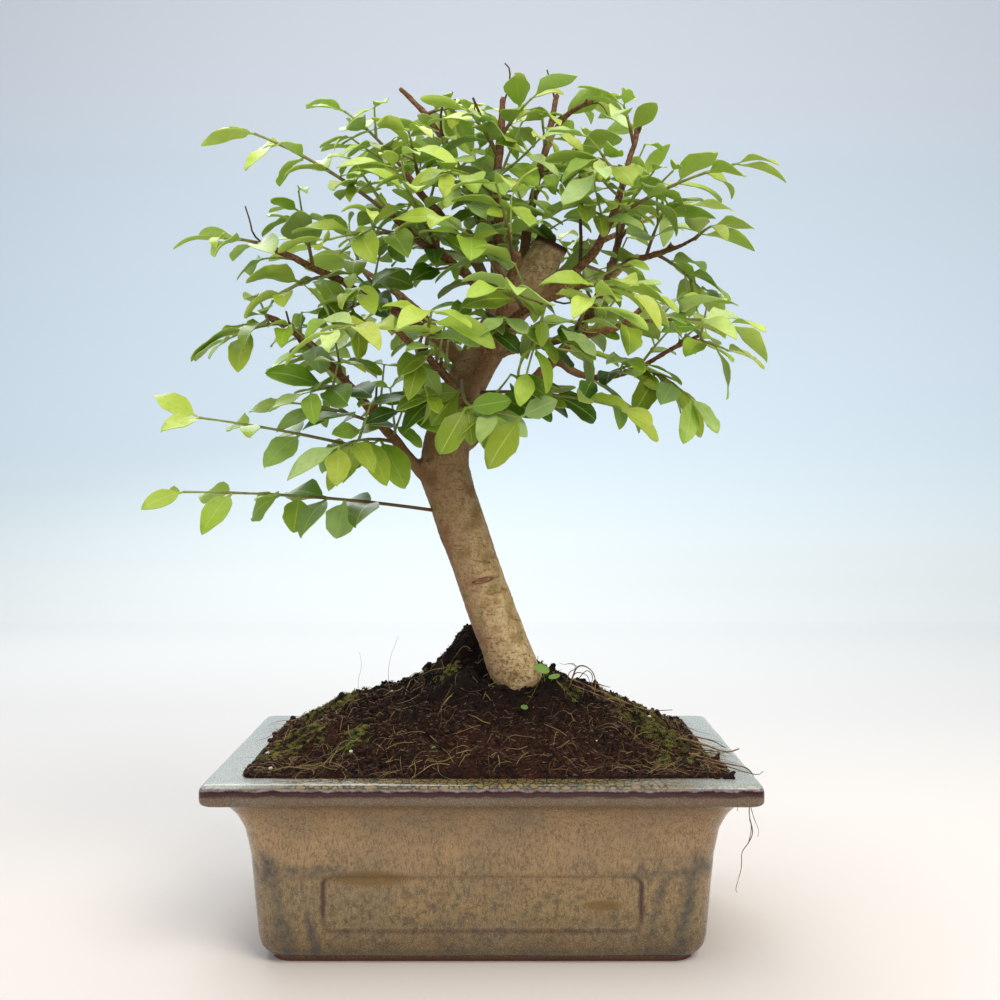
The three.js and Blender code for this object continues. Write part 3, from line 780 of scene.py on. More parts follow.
@dataclass
class Pot:
    """The glazed rectangular pot, on an unglazed foot."""

    length: float = 200
    width: float = 140
    height: float = 70
    floor_top: float = 9
    drain_radius: float = 7.5
    drain_spacing: float = 76
    foot_height: float = 2.2
    foot_band: float = 8
    foot_notch: float = 24
    foot_rib: float = 10
    panel_height: float = 21
    panel_middle: float = 23.3
    panel_depth: float = 0.8
    panel_margin: float = 42
    panel_corner: float = 4
    panel_softness: float = 1.1
    panels_end: float = 45
    corner_steps: int = 13
    long_steps: int = 168
    short_steps: int = 108
    # Each level of a wall: how far in from the rim's edge, how high, and the corner's radius
    outer_wall: tuple = (
        (22, 0, 8), (21.4, 2.2, 8), (19.4, 2.9, 9), (17.4, 5.2, 11), (16.6, 9, 11), (14.4, 40, 11),
        (12.6, 50, 11), (10.2, 56, 10), (7.4, 60, 9), (4.4, 61.8, 6), (1.4, 62.1, 2.6), (0.2, 63.1, 2.6),
        (0, 64.4, 2.6), (0, 67.6, 2.6), (0.5, 69.3, 2.6), (2, 70, 2.6),
    )
    inner_wall: tuple = ((12.2, 70, 7), (13.4, 69, 7), (15, 60, 7), (19.5, 34, 7), (23, 15, 7), (28, 9, 7))

    def levels(self) -> list[Vector]:
        """The wall's levels from the foot over the rim to the floor inside, close together and rounded."""
        profile = [Vector(level) for level in self.outer_wall + self.inner_wall]
        dense = [profile[0]]
        for low, high in zip(profile, profile[1:]):
            inside = low.z <= 7 and high.y < 60
            fine = 0.6 if low.y > 61 and high.x < 5 else 0.95
            steps = max(1, ceil((high - low).length / (5.0 if inside and low.y < 69 else fine)))
            dense += [low.lerp(high, step / steps) for step in range(1, steps + 1)]
        for _ in range(2):
            softened = [(a + 2 * b + c) / 4 for a, b, c in zip(dense, dense[1:], dense[2:])]
            dense = [dense[0], *softened, dense[-1]]
        return dense

    def ring(self, level: Vector) -> list[Vector]:
        """A level ring round the pot, counter-clockwise from the front right corner."""
        inset, height, corner = level
        half = Vector((self.length / 2 - inset - corner, self.width / 2 - inset - corner))
        corners = ((1, -1), (1, 1), (-1, 1), (-1, -1))

        def turned(i: int, share: float) -> Vector:
            angle, (sx, sy) = pi / 2 * (i - 1 + share), corners[i % 4]
            return Vector((sx * half.x + corner * cos(angle), sy * half.y + corner * sin(angle), height))

        points = []
        for i, steps in enumerate((self.short_steps, self.long_steps) * 2):
            arc = [turned(i, step / self.corner_steps) for step in range(self.corner_steps + 1)]
            points += arc + [arc[-1].lerp(turned(i + 1, 0), step / steps) for step in range(1, steps)]
        return points

    def panel_place(self, point: Vector) -> tuple[float, float, Vector]:
        """How far a point of the wall lies beyond its side panel's straight edges, along and up, and
        which way that side faces."""
        on_long_side = self.width / 2 - abs(point.y) < self.length / 2 - abs(point.x)
        along, half = (point.x, self.length / 2) if on_long_side else (point.y, self.width / 2)
        facing = (0, copysign(1, point.y), 0) if on_long_side else (copysign(1, point.x), 0, 0)
        beyond = abs(along) - (half - self.panel_margin) + self.panel_corner
        above = abs(point.z - self.panel_middle) - self.panel_height / 2 + self.panel_corner
        return beyond, above, Vector(facing)

    def build(self) -> None:
        """Lofts the walls, sinks the panels and cuts the foot and the drains."""
        levels = self.levels()
        rings = [self.ring(level) for level in levels]
        around = len(rings[0])
        bm = bmesh.new()
        sheet(bm, around, len(levels) - 1, lambda i, j: rings[j][i % around])
        bmesh.ops.remove_doubles(bm, verts=bm.verts, dist=0.001)
        bmesh.ops.recalc_face_normals(bm, faces=bm.faces)
        uv = bm.loops.layers.uv.new("panel")
        outside = {vert: self.weathered(vert) for vert in bm.verts}
        for vert, place in outside.items():
            vert.co = place
        for face in bm.faces:
            middle = face.calc_center_median()
            for loop in face.loops:
                point = loop.vert.co
                beyond, above, _ = self.panel_place(point)
                far = middle.z > self.panels_end or self.is_inside(middle)
                loop[uv].uv = (99, 99) if far else (beyond * MM, above * MM)
        closed_up(bm)
        for cutter in self.cutters():
            bm = modified(bm, "BOOLEAN", {"operation": "DIFFERENCE", "solver": "MANIFOLD", "object": cutter})
        finished("glazed_pot", bm, AshGlaze(), Slot.STONEWARE, ["pot"])

    def is_inside(self, point: Vector) -> bool:
        """Whether a point lies on the pot's inner wall or on the flat of its rim."""
        inset = 11.8 if point.z > 60 else 17 + (60 - point.z) * 0.12
        lies_in = abs(point.x) < self.length / 2 - inset and abs(point.y) < self.width / 2 - inset
        return lies_in and point.z > self.floor_top - 0.5

    def weathered(self, vert: BMVert) -> Vector:
        """Where a point of the wall ends up: sunk in the panel, and a little uneven as thrown clay is."""
        point = vert.co.copy()
        if point.z < self.foot_height:
            return point
        inside = self.is_inside(point)
        if not inside and point.z < self.panels_end:
            beyond, above, out = self.panel_place(point)
            reach = hypot(max(beyond, 0), max(above, 0)) - self.panel_corner
            point -= out * self.panel_depth * eased(self.panel_softness, -self.panel_softness, reach + 0.4)
        swell = 0.22 * rough(vert.co, 34, 2) + 0.07 * rough(vert.co, 6, 2)
        return point + vert.normal * swell * (0.5 if inside else 1)

    def cutters(self) -> list[BMesh]:
        """The hollow under the pot, which leaves a foot all round and a rib across, and the drains."""
        taken = 2 * (self.outer_wall[0][0] + self.foot_band)
        hollow, breadth = self.length - taken, self.width - taken
        cutters = []
        for side in (-1, 1):
            length = (hollow - self.foot_rib) / 2
            middle = side * (self.foot_rib + length) / 2
            cutters.append(self.block((middle, 0), (length, breadth), self.foot_height))
            notch = self.length / 2 - hollow / 2 + 2
            where = (side * (hollow / 2 + notch / 2 - 1), 0)
            cutters.append(self.block(where, (notch, self.foot_notch), self.foot_height))
            drain = bmesh.new()
            radius = self.drain_radius
            bmesh.ops.create_cone(
                drain, cap_ends=True, segments=48, radius1=radius, radius2=radius, depth=4 * self.floor_top)
            bmesh.ops.translate(drain, vec=(side * self.drain_spacing / 2, 0, 0), verts=drain.verts)
            cutters.append(drain)
        return cutters

    @staticmethod
    def block(middle: tuple[float, float], size: tuple[float, float], top: float) -> BMesh:
        """A block with rounded upright edges, from below the table up to the height given."""
        bm = bmesh.new()
        bmesh.ops.create_cube(bm, size=1)
        bmesh.ops.scale(bm, vec=(*size, 2 * top), verts=bm.verts)
        upright = [edge for edge in bm.edges if abs(edge.verts[0].co.z - edge.verts[1].co.z) > top]
        bmesh.ops.bevel(bm, geom=upright, offset=3, affect="EDGES", segments=4, profile=0.5, material=-1)
        bmesh.ops.translate(bm, vec=(*middle, 0), verts=bm.verts)
        return bm


@dataclass
class DrainNetting:
    """A square of plastic netting laid over a drain hole."""

    side: float = 27
    thickness: float = 0.8
    cells: int = 7
    strand: float = 0.45

    def build(self, pot: Pot, name: str, hand: int) -> None:
        """Weaves the strands as rods running both ways, crossing at one height."""
        runs = []
        pitch = self.side / self.cells
        middle = Vector((hand * pot.drain_spacing / 2, 0, pot.floor_top + self.thickness / 2))
        reach = self.side / 2
        for i in range(self.cells + 1):
            off = -reach + i * pitch
            for ends in (((off, -reach), (off, reach)), ((-reach, off), (reach, off))):
                points = [middle + Vector((*end, 0)) for end in ends]
                runs.append((points, [self.strand] * 2))
        finished(f"netting_{name}", tubes(runs, 2), NettingPlastic(), Slot.NETTING, [f"drain_mesh_{name}"])


# Soil


@dataclass
class Soil:
    """The heaped peat and what lies and grows on it."""

    pot: Pot
    edge: float = 71
    rise: float = 39
    bulge: float = 0.9
    squareness: float = 2.4
    peak: tuple = (-3, 12)
    crest_height: float = 9
    crest_radius: float = 13
    clod_height: float = 1.1
    clod_pitch: float = 11
    gap: float = 0.3
    grid: float = 0.85
    crumbs: int = 7800
    clods: int = 330
    slivers: int = 5200
    perlite: int = 14
    moss_tries: int = 5600
    moss_threads: int = 11
    # Washed-out places, and below nought heaped-up ones: middle in x and y, half their size, depth
    hollows: tuple = (
        ((-31, 4), (15, 24), 5.5), ((25, -18), (6.5, 5.5), -10), ((-9, -14), (6, 7), -3),
        ((2, -21), (6, 5), -4), ((14, -27), (5, 5), 2.5),
    )
    # Mossy places: middle in x and y, and how far the moss spreads
    moss: tuple = (
        ((-74, -22), 12), ((-62, 8), 13), ((-50, -34), 6), ((70, -12), 13), ((58, 10), 12), ((30, -10), 8),
        ((-25, 30), 16), ((30, 36), 17), ((-78, 34), 11), ((72, -38), 8), ((-14, -6), 4),
    )
    draw: random.Random = field(default_factory=lambda: random.Random(7))

    def room(self, margin: float = 0) -> tuple[float, float]:
        """Half the length and breadth of the pot's mouth, less a margin."""
        inset = self.pot.inner_wall[0][0]
        return self.pot.length / 2 - inset - margin, self.pot.width / 2 - inset - margin

    def height(self, x: float, y: float) -> float:
        """The smooth mound's height over a place in the pot."""
        reach = 0.0
        for past, peak, room in zip((x - self.peak[0], y - self.peak[1]), self.peak, self.room()):
            reach += (abs(past) / (room - peak if past > 0 else room + peak)) ** self.squareness
        rise = max(0.0, 1 - reach ** (1 / self.squareness))
        crest = exp(-((x - self.peak[0]) ** 2 + (y - self.peak[1]) ** 2) / self.crest_radius ** 2)
        turn = 2 * pi / self.clod_pitch
        clods = sin(turn * (x + 0.4 * y)) * sin(turn * (1.1 * y - 0.3 * x))
        return (self.edge + self.rise * rise ** self.bulge + self.crest_height * crest
                + self.clod_height * clods * min(1.0, 6 * rise))

    def ground(self, x: float, y: float) -> float:
        """The broken surface: the mound with lumps and crumbs."""
        spot = Vector((x, y, 3))
        lumps = 2 * rough(spot, 12) + 2.3 * abs(rough(spot, 5)) + rough(spot, 2.1, 2)
        border = min(self.pot.length / 2 - abs(x), self.pot.width / 2 - abs(y)) - self.pot.inner_wall[0][0]
        worn = sum(deep * exp(-hypot((x - hx) / wide, (y - hy) / long) ** 2)
                   for (hx, hy), (wide, long), deep in self.hollows)
        return self.height(x, y) + lumps * (0.35 + 0.65 * eased(0, 9, border)) - 0.6 - worn

    def mossiness(self, x: float, y: float) -> float:
        """How thickly moss covers a place, from 0 to 1."""
        near = max(1 - hypot(x - mx, y - my) / (1.5 * reach) for (mx, my), reach in self.moss)
        return eased(0.1, 0.55, near + 0.35 * rough(Vector((x, y, 9)), 8))

    def within(self, margin: float) -> tuple[float, float]:
        """A random place on the soil, at least the margin away from the pot's wall."""
        half_x, half_y = self.room(margin)
        return self.draw.uniform(-half_x, half_x), self.draw.uniform(-half_y, half_y)

    def build_mound(self) -> None:
        """The heap itself, down to the pot's floor."""
        level = self.pot.inner_wall[0]
        half = Vector((self.pot.length / 2, self.pot.width / 2)) - Vector((level[0] + self.gap,) * 2)
        columns, rows = round(2 * half.x / self.grid), round(2 * half.y / self.grid)

        def place(i: int, j: int) -> Vector:
            flat = Vector(((2 * i / columns - 1) * half.x, (2 * j / rows - 1) * half.y))
            corner = Vector([copysign(side - level[2], way) for side, way in zip(half, flat)])
            past = flat - corner
            if past.x * flat.x > 0 and past.y * flat.y > 0 and past.length > level[2]:
                flat = corner + past.normalized() * level[2]
            return Vector((*flat, self.ground(*flat)))

        bm = bmesh.new()
        sheet(bm, columns, rows, place)
        moss = bm.verts.layers.float.new("moss")
        for vert in bm.verts:
            vert[moss] = self.mossiness(vert.co.x, vert.co.y)
        rim = [edge for edge in bm.edges if edge.is_boundary]
        for inset, low in ((13.8, 67), (15.2, 60), (19.8, 34), (23.3, 15), (28.3, 10.4)):
            skirt = bmesh.ops.extrude_edge_only(bm, edges=rim)["geom"]
            rim = [item for item in skirt if isinstance(item, BMEdge)
                   and all(len(vert.link_faces) <= 2 and vert in skirt for vert in item.verts)]
            shrink = Vector((self.pot.length / 2 - inset, self.pot.width / 2 - inset))
            for vert in {vert for vert in skirt if isinstance(vert, BMVert)}:
                vert.co.x = max(-shrink.x, min(shrink.x, vert.co.x * shrink.x / half.x))
                vert.co.y = max(-shrink.y, min(shrink.y, vert.co.y * shrink.y / half.y))
                vert.co.z = low
            half = shrink
        closed_up(bm)
        finished("peat_mound", bm, Peat(), Slot.SOIL, ["soil"], pi)

    def build_crumbs(self) -> None:
        """Loose crumbs and larger clods, half sunk in the heap."""
        for name, count, low, high, fineness in (
                ("peat_crumbs", self.crumbs, 0.35, 0.95, 1), ("peat_clods", self.clods, 1.2, 2.3, 2)):
            places = []
            for i in range(count):
                x, y = self.within(1.2)
                spilled = i % 26 == 0
                if spilled:
                    x, y = 84 + 7 * self.draw.random() ** 1.6, self.draw.uniform(-60, -22)
                size = self.draw.uniform(low, high)
                angle = self.draw.uniform(0, 6.3)
                turn = Matrix.Rotation(angle, 4, Vector((self.draw.random(), 1, self.draw.random())))
                breadth, depth = self.draw.uniform(0.6, 1), self.draw.uniform(0.5, 0.8)
                shape = Matrix.Diagonal((size, size * breadth, size * depth, 1))
                level = self.pot.height + 0.3 * size if spilled else self.ground(x, y) + 0.1 * size
                places.append(Matrix.Translation((x, y, level)) @ turn @ shape)
            crumb = bmesh.new()
            for part in range(fineness):
                ball = bmesh.ops.create_icosphere(crumb, subdivisions=1, radius=1 - 0.25 * part)["verts"]
                for vert in ball:
                    vert.co *= 1 + 0.4 * noise.noise(vert.co * 2.1)
                    vert.co += Vector((0.7, 0.4, 0.5)) * part
            bm = strew(crumb, places)
            bm.verts.layers.float.new("moss")
            finished(name, bm, Peat(), Slot.SOIL, sharp=radians(30))

    def build_slivers(self) -> None:
        """Short straight bits of fibre and bark, lying every way."""
        places = []
        for _ in range(self.slivers):
            x, y = self.within(1.5)
            if self.draw.random() < 0.75 * eased(84, 94, self.ground(x, y)):
                continue
            turn = Matrix.Rotation(self.draw.uniform(0, 6.3), 4, "Z")
            turn @= Matrix.Rotation(pi / 2 + self.draw.gauss(0, 0.35), 4, "X")
            thick = self.draw.uniform(0.06, 0.2)
            shape = Matrix.Diagonal((thick, thick, self.draw.uniform(0.5, 1.9), 1))
            level = self.ground(x, y) + self.draw.uniform(0.2, 0.8)
            places.append(Matrix.Translation((x, y, level)) @ turn @ shape)
        sliver = bmesh.new()
        bmesh.ops.create_cone(sliver, cap_ends=True, segments=3, radius1=1, radius2=0.6, depth=2)
        finished("peat_slivers", strew(sliver, places), Sliver(), Slot.SOIL)

    def build_moss(self) -> None:
        """Tufts of moss threads wherever the soil is mossy."""
        tuft = bmesh.new()
        for i in range(self.moss_threads):
            thread = bmesh.ops.create_cone(
                tuft, cap_ends=True, segments=3, radius1=0.3, radius2=0.06, depth=1.6)
            lean = Matrix.Rotation(0.15 + 0.09 * i, 4, "X")
            spin = Matrix.Rotation(2.4 * i, 4, "Z")
            off = 0.45 * sqrt(i)
            where = Matrix.Translation((off * cos(2.4 * i), off * sin(2.4 * i), 0))
            rise = Matrix.Translation((0, 0, 0.7))
            bmesh.ops.transform(tuft, matrix=where @ spin @ lean @ rise, verts=thread["verts"])
        places = []
        for _ in range(self.moss_tries):
            x, y = self.within(1.5)
            if self.draw.random() > self.mossiness(x, y) ** 1.3:
                continue
            size = self.draw.uniform(0.4, 0.95)
            turn = Matrix.Rotation(self.draw.uniform(0, 6.3), 4, "Z")
            turn @= Matrix.Rotation(self.draw.uniform(-0.6, 0.6), 4, "X")
            places.append(Matrix.Translation((x, y, self.ground(x, y) + 0.1)) @ turn @ Matrix.Scale(size, 4))
        finished("moss_tufts", strew(tuft, places), Moss(), Slot.SOIL, sharp=pi)

    def lying_run(self, x: float, y: float, heading: float, length: float, rise: float,
                  curl: float = 1.1) -> list[Vector]:
        """Points of a thread that lies over the soil, arching up between its ends."""
        steps = 7
        points = []
        bend = self.draw.uniform(-curl, curl)
        for step in range(steps + 1):
            share = step / steps
            over = self.pot.length / 2 - 13 - abs(x) < 0 or self.pot.width / 2 - 13 - abs(y) < 0
            level = self.pot.height + 0.1 if over else self.ground(x, y)
            points.append(Vector((x, y, level + rise * sin(pi * share) + 0.3)))
            heading += bend / steps + self.draw.uniform(-0.38, 0.38)
            x += length / steps * cos(heading)
            y += length / steps * sin(heading)
            x, y = max(-97, min(97, x)), max(-67, min(67, y))
        for _ in range(2):
            eased_out = [(a.z + 2 * b.z + c.z) / 4 + 0.12 for a, b, c in zip(points, points[1:], points[2:])]
            for point, z in zip(points[1:-1], eased_out):
                point.z = max(z, point.z - 0.4)
        return rounded(points, 1)

    def build_fibres(self) -> None:
        """Dead straw, rootlets and lying stems strewn over the heap, thickest along its edges and over the
        right lip: how many, their length, radius and arch."""
        kinds = (("straw_fibres", Straw(), 460, (3, 16), (0.05, 0.15), 1.6),
                 ("dead_rootlets", Rootlet(), 420, (3, 13), (0.05, 0.17), 1.4),
                 ("grass_stems", GrassStem(), 80, (6, 19), (0.08, 0.2), 2.0))
        for name, finish, count, lengths, radii, arch in kinds:
            runs = []
            for i in range(count):
                x, y = self.within(3)
                heading = self.draw.gauss(0.1, 0.9) + (pi if self.draw.random() < 0.5 else 0)
                if i % 3 == 0:
                    x = copysign(self.draw.uniform(48, 84), x)
                elif i % 7 == 0:
                    y = -self.draw.uniform(50, 55)
                elif i % 8 == 1:
                    x, y = self.draw.uniform(80, 87), self.draw.uniform(-56, 10)
                    heading = self.draw.gauss(-0.4, 0.6)
                length, rise = self.draw.uniform(*lengths), self.draw.uniform(0, arch)
                points = self.lying_run(x, y, heading, length, rise)
                runs.append(tapered(points, self.draw.uniform(*radii), 0.6))
            finished(name, tubes(runs, 0), finish, Slot.SOIL)

    def build_grit(self) -> None:
        """Bits of perlite."""
        places = []
        for _ in range(self.perlite):
            x, y = self.within(5)
            size = self.draw.uniform(0.45, 0.9)
            shape = Matrix.Diagonal((size, size * 0.8, size * 0.7, 1))
            places.append(Matrix.Translation((x, y, self.ground(x, y) + 0.5)) @ shape)
        grain = bmesh.new()
        bmesh.ops.create_icosphere(grain, subdivisions=2, radius=1)
        for vert in grain.verts:
            vert.co *= 1 + 0.3 * noise.noise(vert.co * 1.7)
        finished("perlite_grains", strew(grain, places), Perlite(), Slot.SOIL)

    def build_roots(self) -> None:
        """The curled root by the trunk, roots over the right lip, one that hangs below it, and hairs."""
        hand_drawn = (
            ([(34, -6, 94), (35.5, -8, 99.5), (37, -9, 103.5), (40, -10, 104), (43.5, -10, 101.5),
              (44.5, -10, 97), (43.6, -11, 92)], 0.36),
            ([(35.5, -8, 99.5), (37, -10, 101.5), (41, -11, 100.5), (42, -12, 97.5)], 0.24),
            ([(33, -8, 97), (34, -9, 101.5), (36.5, -10, 102.4), (36, -10, 105), (33.4, -9, 104.4)], 0.2),
            ([(38, -9, 99), (41, -10, 102.6), (43.4, -11, 100), (42.4, -12, 96.6), (44.8, -12, 94)], 0.22),
            ([(36, -5, 97.5), (45, -4, 93.6), (56, -3, 88.4), (66, -4, 84.8), (75.4, -6, 85.6)], 0.34),
            ([(35, -8, 96), (44, -7, 92.4), (54, -6, 88), (63, -7, 84)], 0.24),
            ([(37, -9, 103.5), (34, -9, 104.8), (32, -9, 104), (30, -10, 105)], 0.16),
            ([(44.5, -10, 97), (47, -11, 96.2), (50, -12, 95.6)], 0.25),
            ([(43, -10, 95), (45, -11, 93.6), (47, -12, 94.6), (48.4, -12, 92)], 0.3),
            ([(78, -34, 74), (86, -38, 72.5), (93, -41, 71.2), (99, -43, 70.6), (101.5, -44, 66),
              (99.5, -45, 61), (98.6, -45, 54), (99.8, -46, 49), (98.4, -46, 43)], 0.32),
            ([(99, -45, 52), (100.4, -46, 47), (98, -46, 42.5), (95.8, -46, 40), (96, -46, 34),
              (94.5, -46, 29), (93.6, -46, 25.4), (94.6, -46, 25)], 0.2),
            ([(99, -45, 58), (100.6, -45, 52), (102.4, -46, 48), (101.8, -46, 45.5)], 0.16),
            ([(97, -45, 59), (94.6, -45, 56.4), (94.2, -46, 55)], 0.14),
            ([(76, -20, 77), (86, -22, 75), (94, -24, 72), (99, -23, 73.5)], 0.55),
            ([(80, -40, 73), (88, -46, 72.5), (95, -52, 71.2), (100, -57, 70.8), (101, -60, 73)], 0.25),
            ([(84, -6, 75), (91, -9, 74), (95, -16, 72.4)], 0.35),
        )
        hairs = (
            ([(-50, -4, 90), (-50.5, -5, 97), (-48.5, -6, 103), (-49.5, -7, 109)], 0.09),
            ([(-38, -2, 93), (-38.5, -4, 101), (-37, -5, 108), (-34, -6, 115)], 0.09),
        )
        runs = [tapered(rounded(points), radius, 0.55) for points, radius in hand_drawn + hairs]
        finished("surface_roots", tubes(runs, 1), RootSkin(), Slot.BARK)

    def build_seedlings(self) -> None:
        """Weed seedlings: round seed leaves on threads of stems. Each leaf has its middle, its half length
        and breadth, its turn round the way it faces, and the foot of its stem."""
        leaves = (
            ((22.6, -24, 104.6), (3.3, 2.2), 0.5, (24, -19)),
            ((27.4, -24, 101.6), (2.4, 1.2), -0.3, (26.5, -18)),
            ((15.8, -29, 90.6), (1.5, 1.1), 0.2, (16, -24)), ((-18, -46, 78.4), (0.9, 0.9), 0, (-18, -44)),
        )
        bm = bmesh.new()
        stems = []
        for middle, (half_length, half_breadth), turn, (x, y) in leaves:
            blade = bmesh.ops.create_uvsphere(bm, u_segments=16, v_segments=7, radius=1)["verts"]
            for vert in blade:
                vert.co.z += 0.9 * (vert.co.x ** 2 + vert.co.y ** 2) if abs(vert.co.z) < 0.99 else 0
            shape = Matrix.Diagonal((half_length, half_breadth, 0.22, 1))
            pose = Matrix.Rotation(turn, 4, "Y") @ Matrix.Rotation(0.8, 4, "X")
            pose = Matrix.Translation(middle) @ (pose @ Matrix.Rotation(turn / 2, 4, "Z")) @ shape
            bmesh.ops.transform(bm, matrix=pose, verts=blade)
            foot = Vector((x, y, self.ground(x, y) - 1))
            stems.append(tapered(rounded([foot, foot.lerp(Vector(middle), 0.5) + UP, middle]), 0.14, 0.3))
        grown = used_up(tubes(stems, 0))
        bm.from_mesh(grown)
        bpy.data.meshes.remove(grown)
        finished("seedlings", bm, Seedling(), Slot.LEAVES, sharp=pi)

    def build(self) -> None:
        """Everything from the mound to the last hair."""
        self.build_mound()
        self.build_crumbs()
        self.build_slivers()
        self.build_moss()
        self.build_fibres()
        self.build_grit()
        self.build_roots()
        self.build_seedlings()


# Wood


def rounded(points: Iterable[Sequence[float]], times: int = 2) -> list[Vector]:
    """A line through space with its corners cut off a few times over, so that it bends softly."""
    line = [Vector(point) for point in points]
    for _ in range(times):
        cut = [share for a, b in zip(line, line[1:]) for share in (a.lerp(b, 0.25), a.lerp(b, 0.75))]
        line = [line[0], *cut[1:-1], line[-1]]
    return line


def tapered(line: Sequence[Vector], radius: float, loss: float) -> tuple[Sequence[Vector], list[float]]:
    """A line with its radii, which shrink along it by the share given."""
    return line, [radius * (1 - loss * i / len(line)) for i in range(len(line))]


@dataclass(frozen=True)
class Run:
    """A smooth run through space, held by the control points of its Bezier curve."""

    controls: tuple[Vector, ...]

    @classmethod
    def through(cls, route: Sequence[Sequence[float]]) -> "Run":
        """The run that passes through four points."""
        a, b, c, d = (Vector(point) for point in route)
        return cls((a, (-5 * a + 18 * b - 9 * c + 2 * d) / 6, (2 * a - 9 * b + 18 * c - 5 * d) / 6, d))

    def halved(self, t: float, left: int) -> list[Vector]:
        """The control points after they close in on a parameter, until so many are left."""
        points = list(self.controls)
        while len(points) > left:
            points = [p.lerp(q, t) for p, q in zip(points, points[1:])]
        return points

    def at(self, t: float) -> Vector:
        """The point at a share of the curve's parameter."""
        return self.halved(t, 1)[0]

    def heading(self, t: float) -> Vector:
        """The way the run goes there."""
        p, q = self.halved(t, 2)
        return (q - p).normalized()

    def parameter(self, share: float) -> float:
        """The parameter at a share of the run's length."""
        steps = 200
        points = [self.at(i / steps) for i in range(steps + 1)]
        reached = [0.0]
        for p, q in zip(points, points[1:]):
            reached.append(reached[-1] + (q - p).length)
        goal = share * reached[-1]
        i = min(bisect.bisect_right(reached, goal) - 1, steps - 1)
        return (i + (goal - reached[i]) / (reached[i + 1] - reached[i])) / steps

    def points(self, steps: int) -> list[Vector]:
        """Points evenly spaced along the run."""
        return [self.at(self.parameter(i / steps)) for i in range(steps + 1)]


@dataclass(frozen=True)
class Spray:
    """A leafy twig: where along its bough it starts, where it ends, and how it carries its leaves."""

    at: float
    tip: tuple[float, float, float]
    arch: float
    pairs: int = 3
    droop: float = 0.05

    def twig(self, bough: Run) -> Run:
        """The twig's run."""
        root = bough.at(bough.parameter(self.at))
        tip = Vector(self.tip)
        return Run((root, root.lerp(tip, 0.5) + UP * self.arch, tip))


@dataclass(frozen=True)
class Bough:
    """A bough: the four points it runs through, its radius at the root and at the cut end, its sprays."""

    route: tuple
    radii: Optional[tuple[float, float]]
    sprays: tuple[Spray, ...] = ()


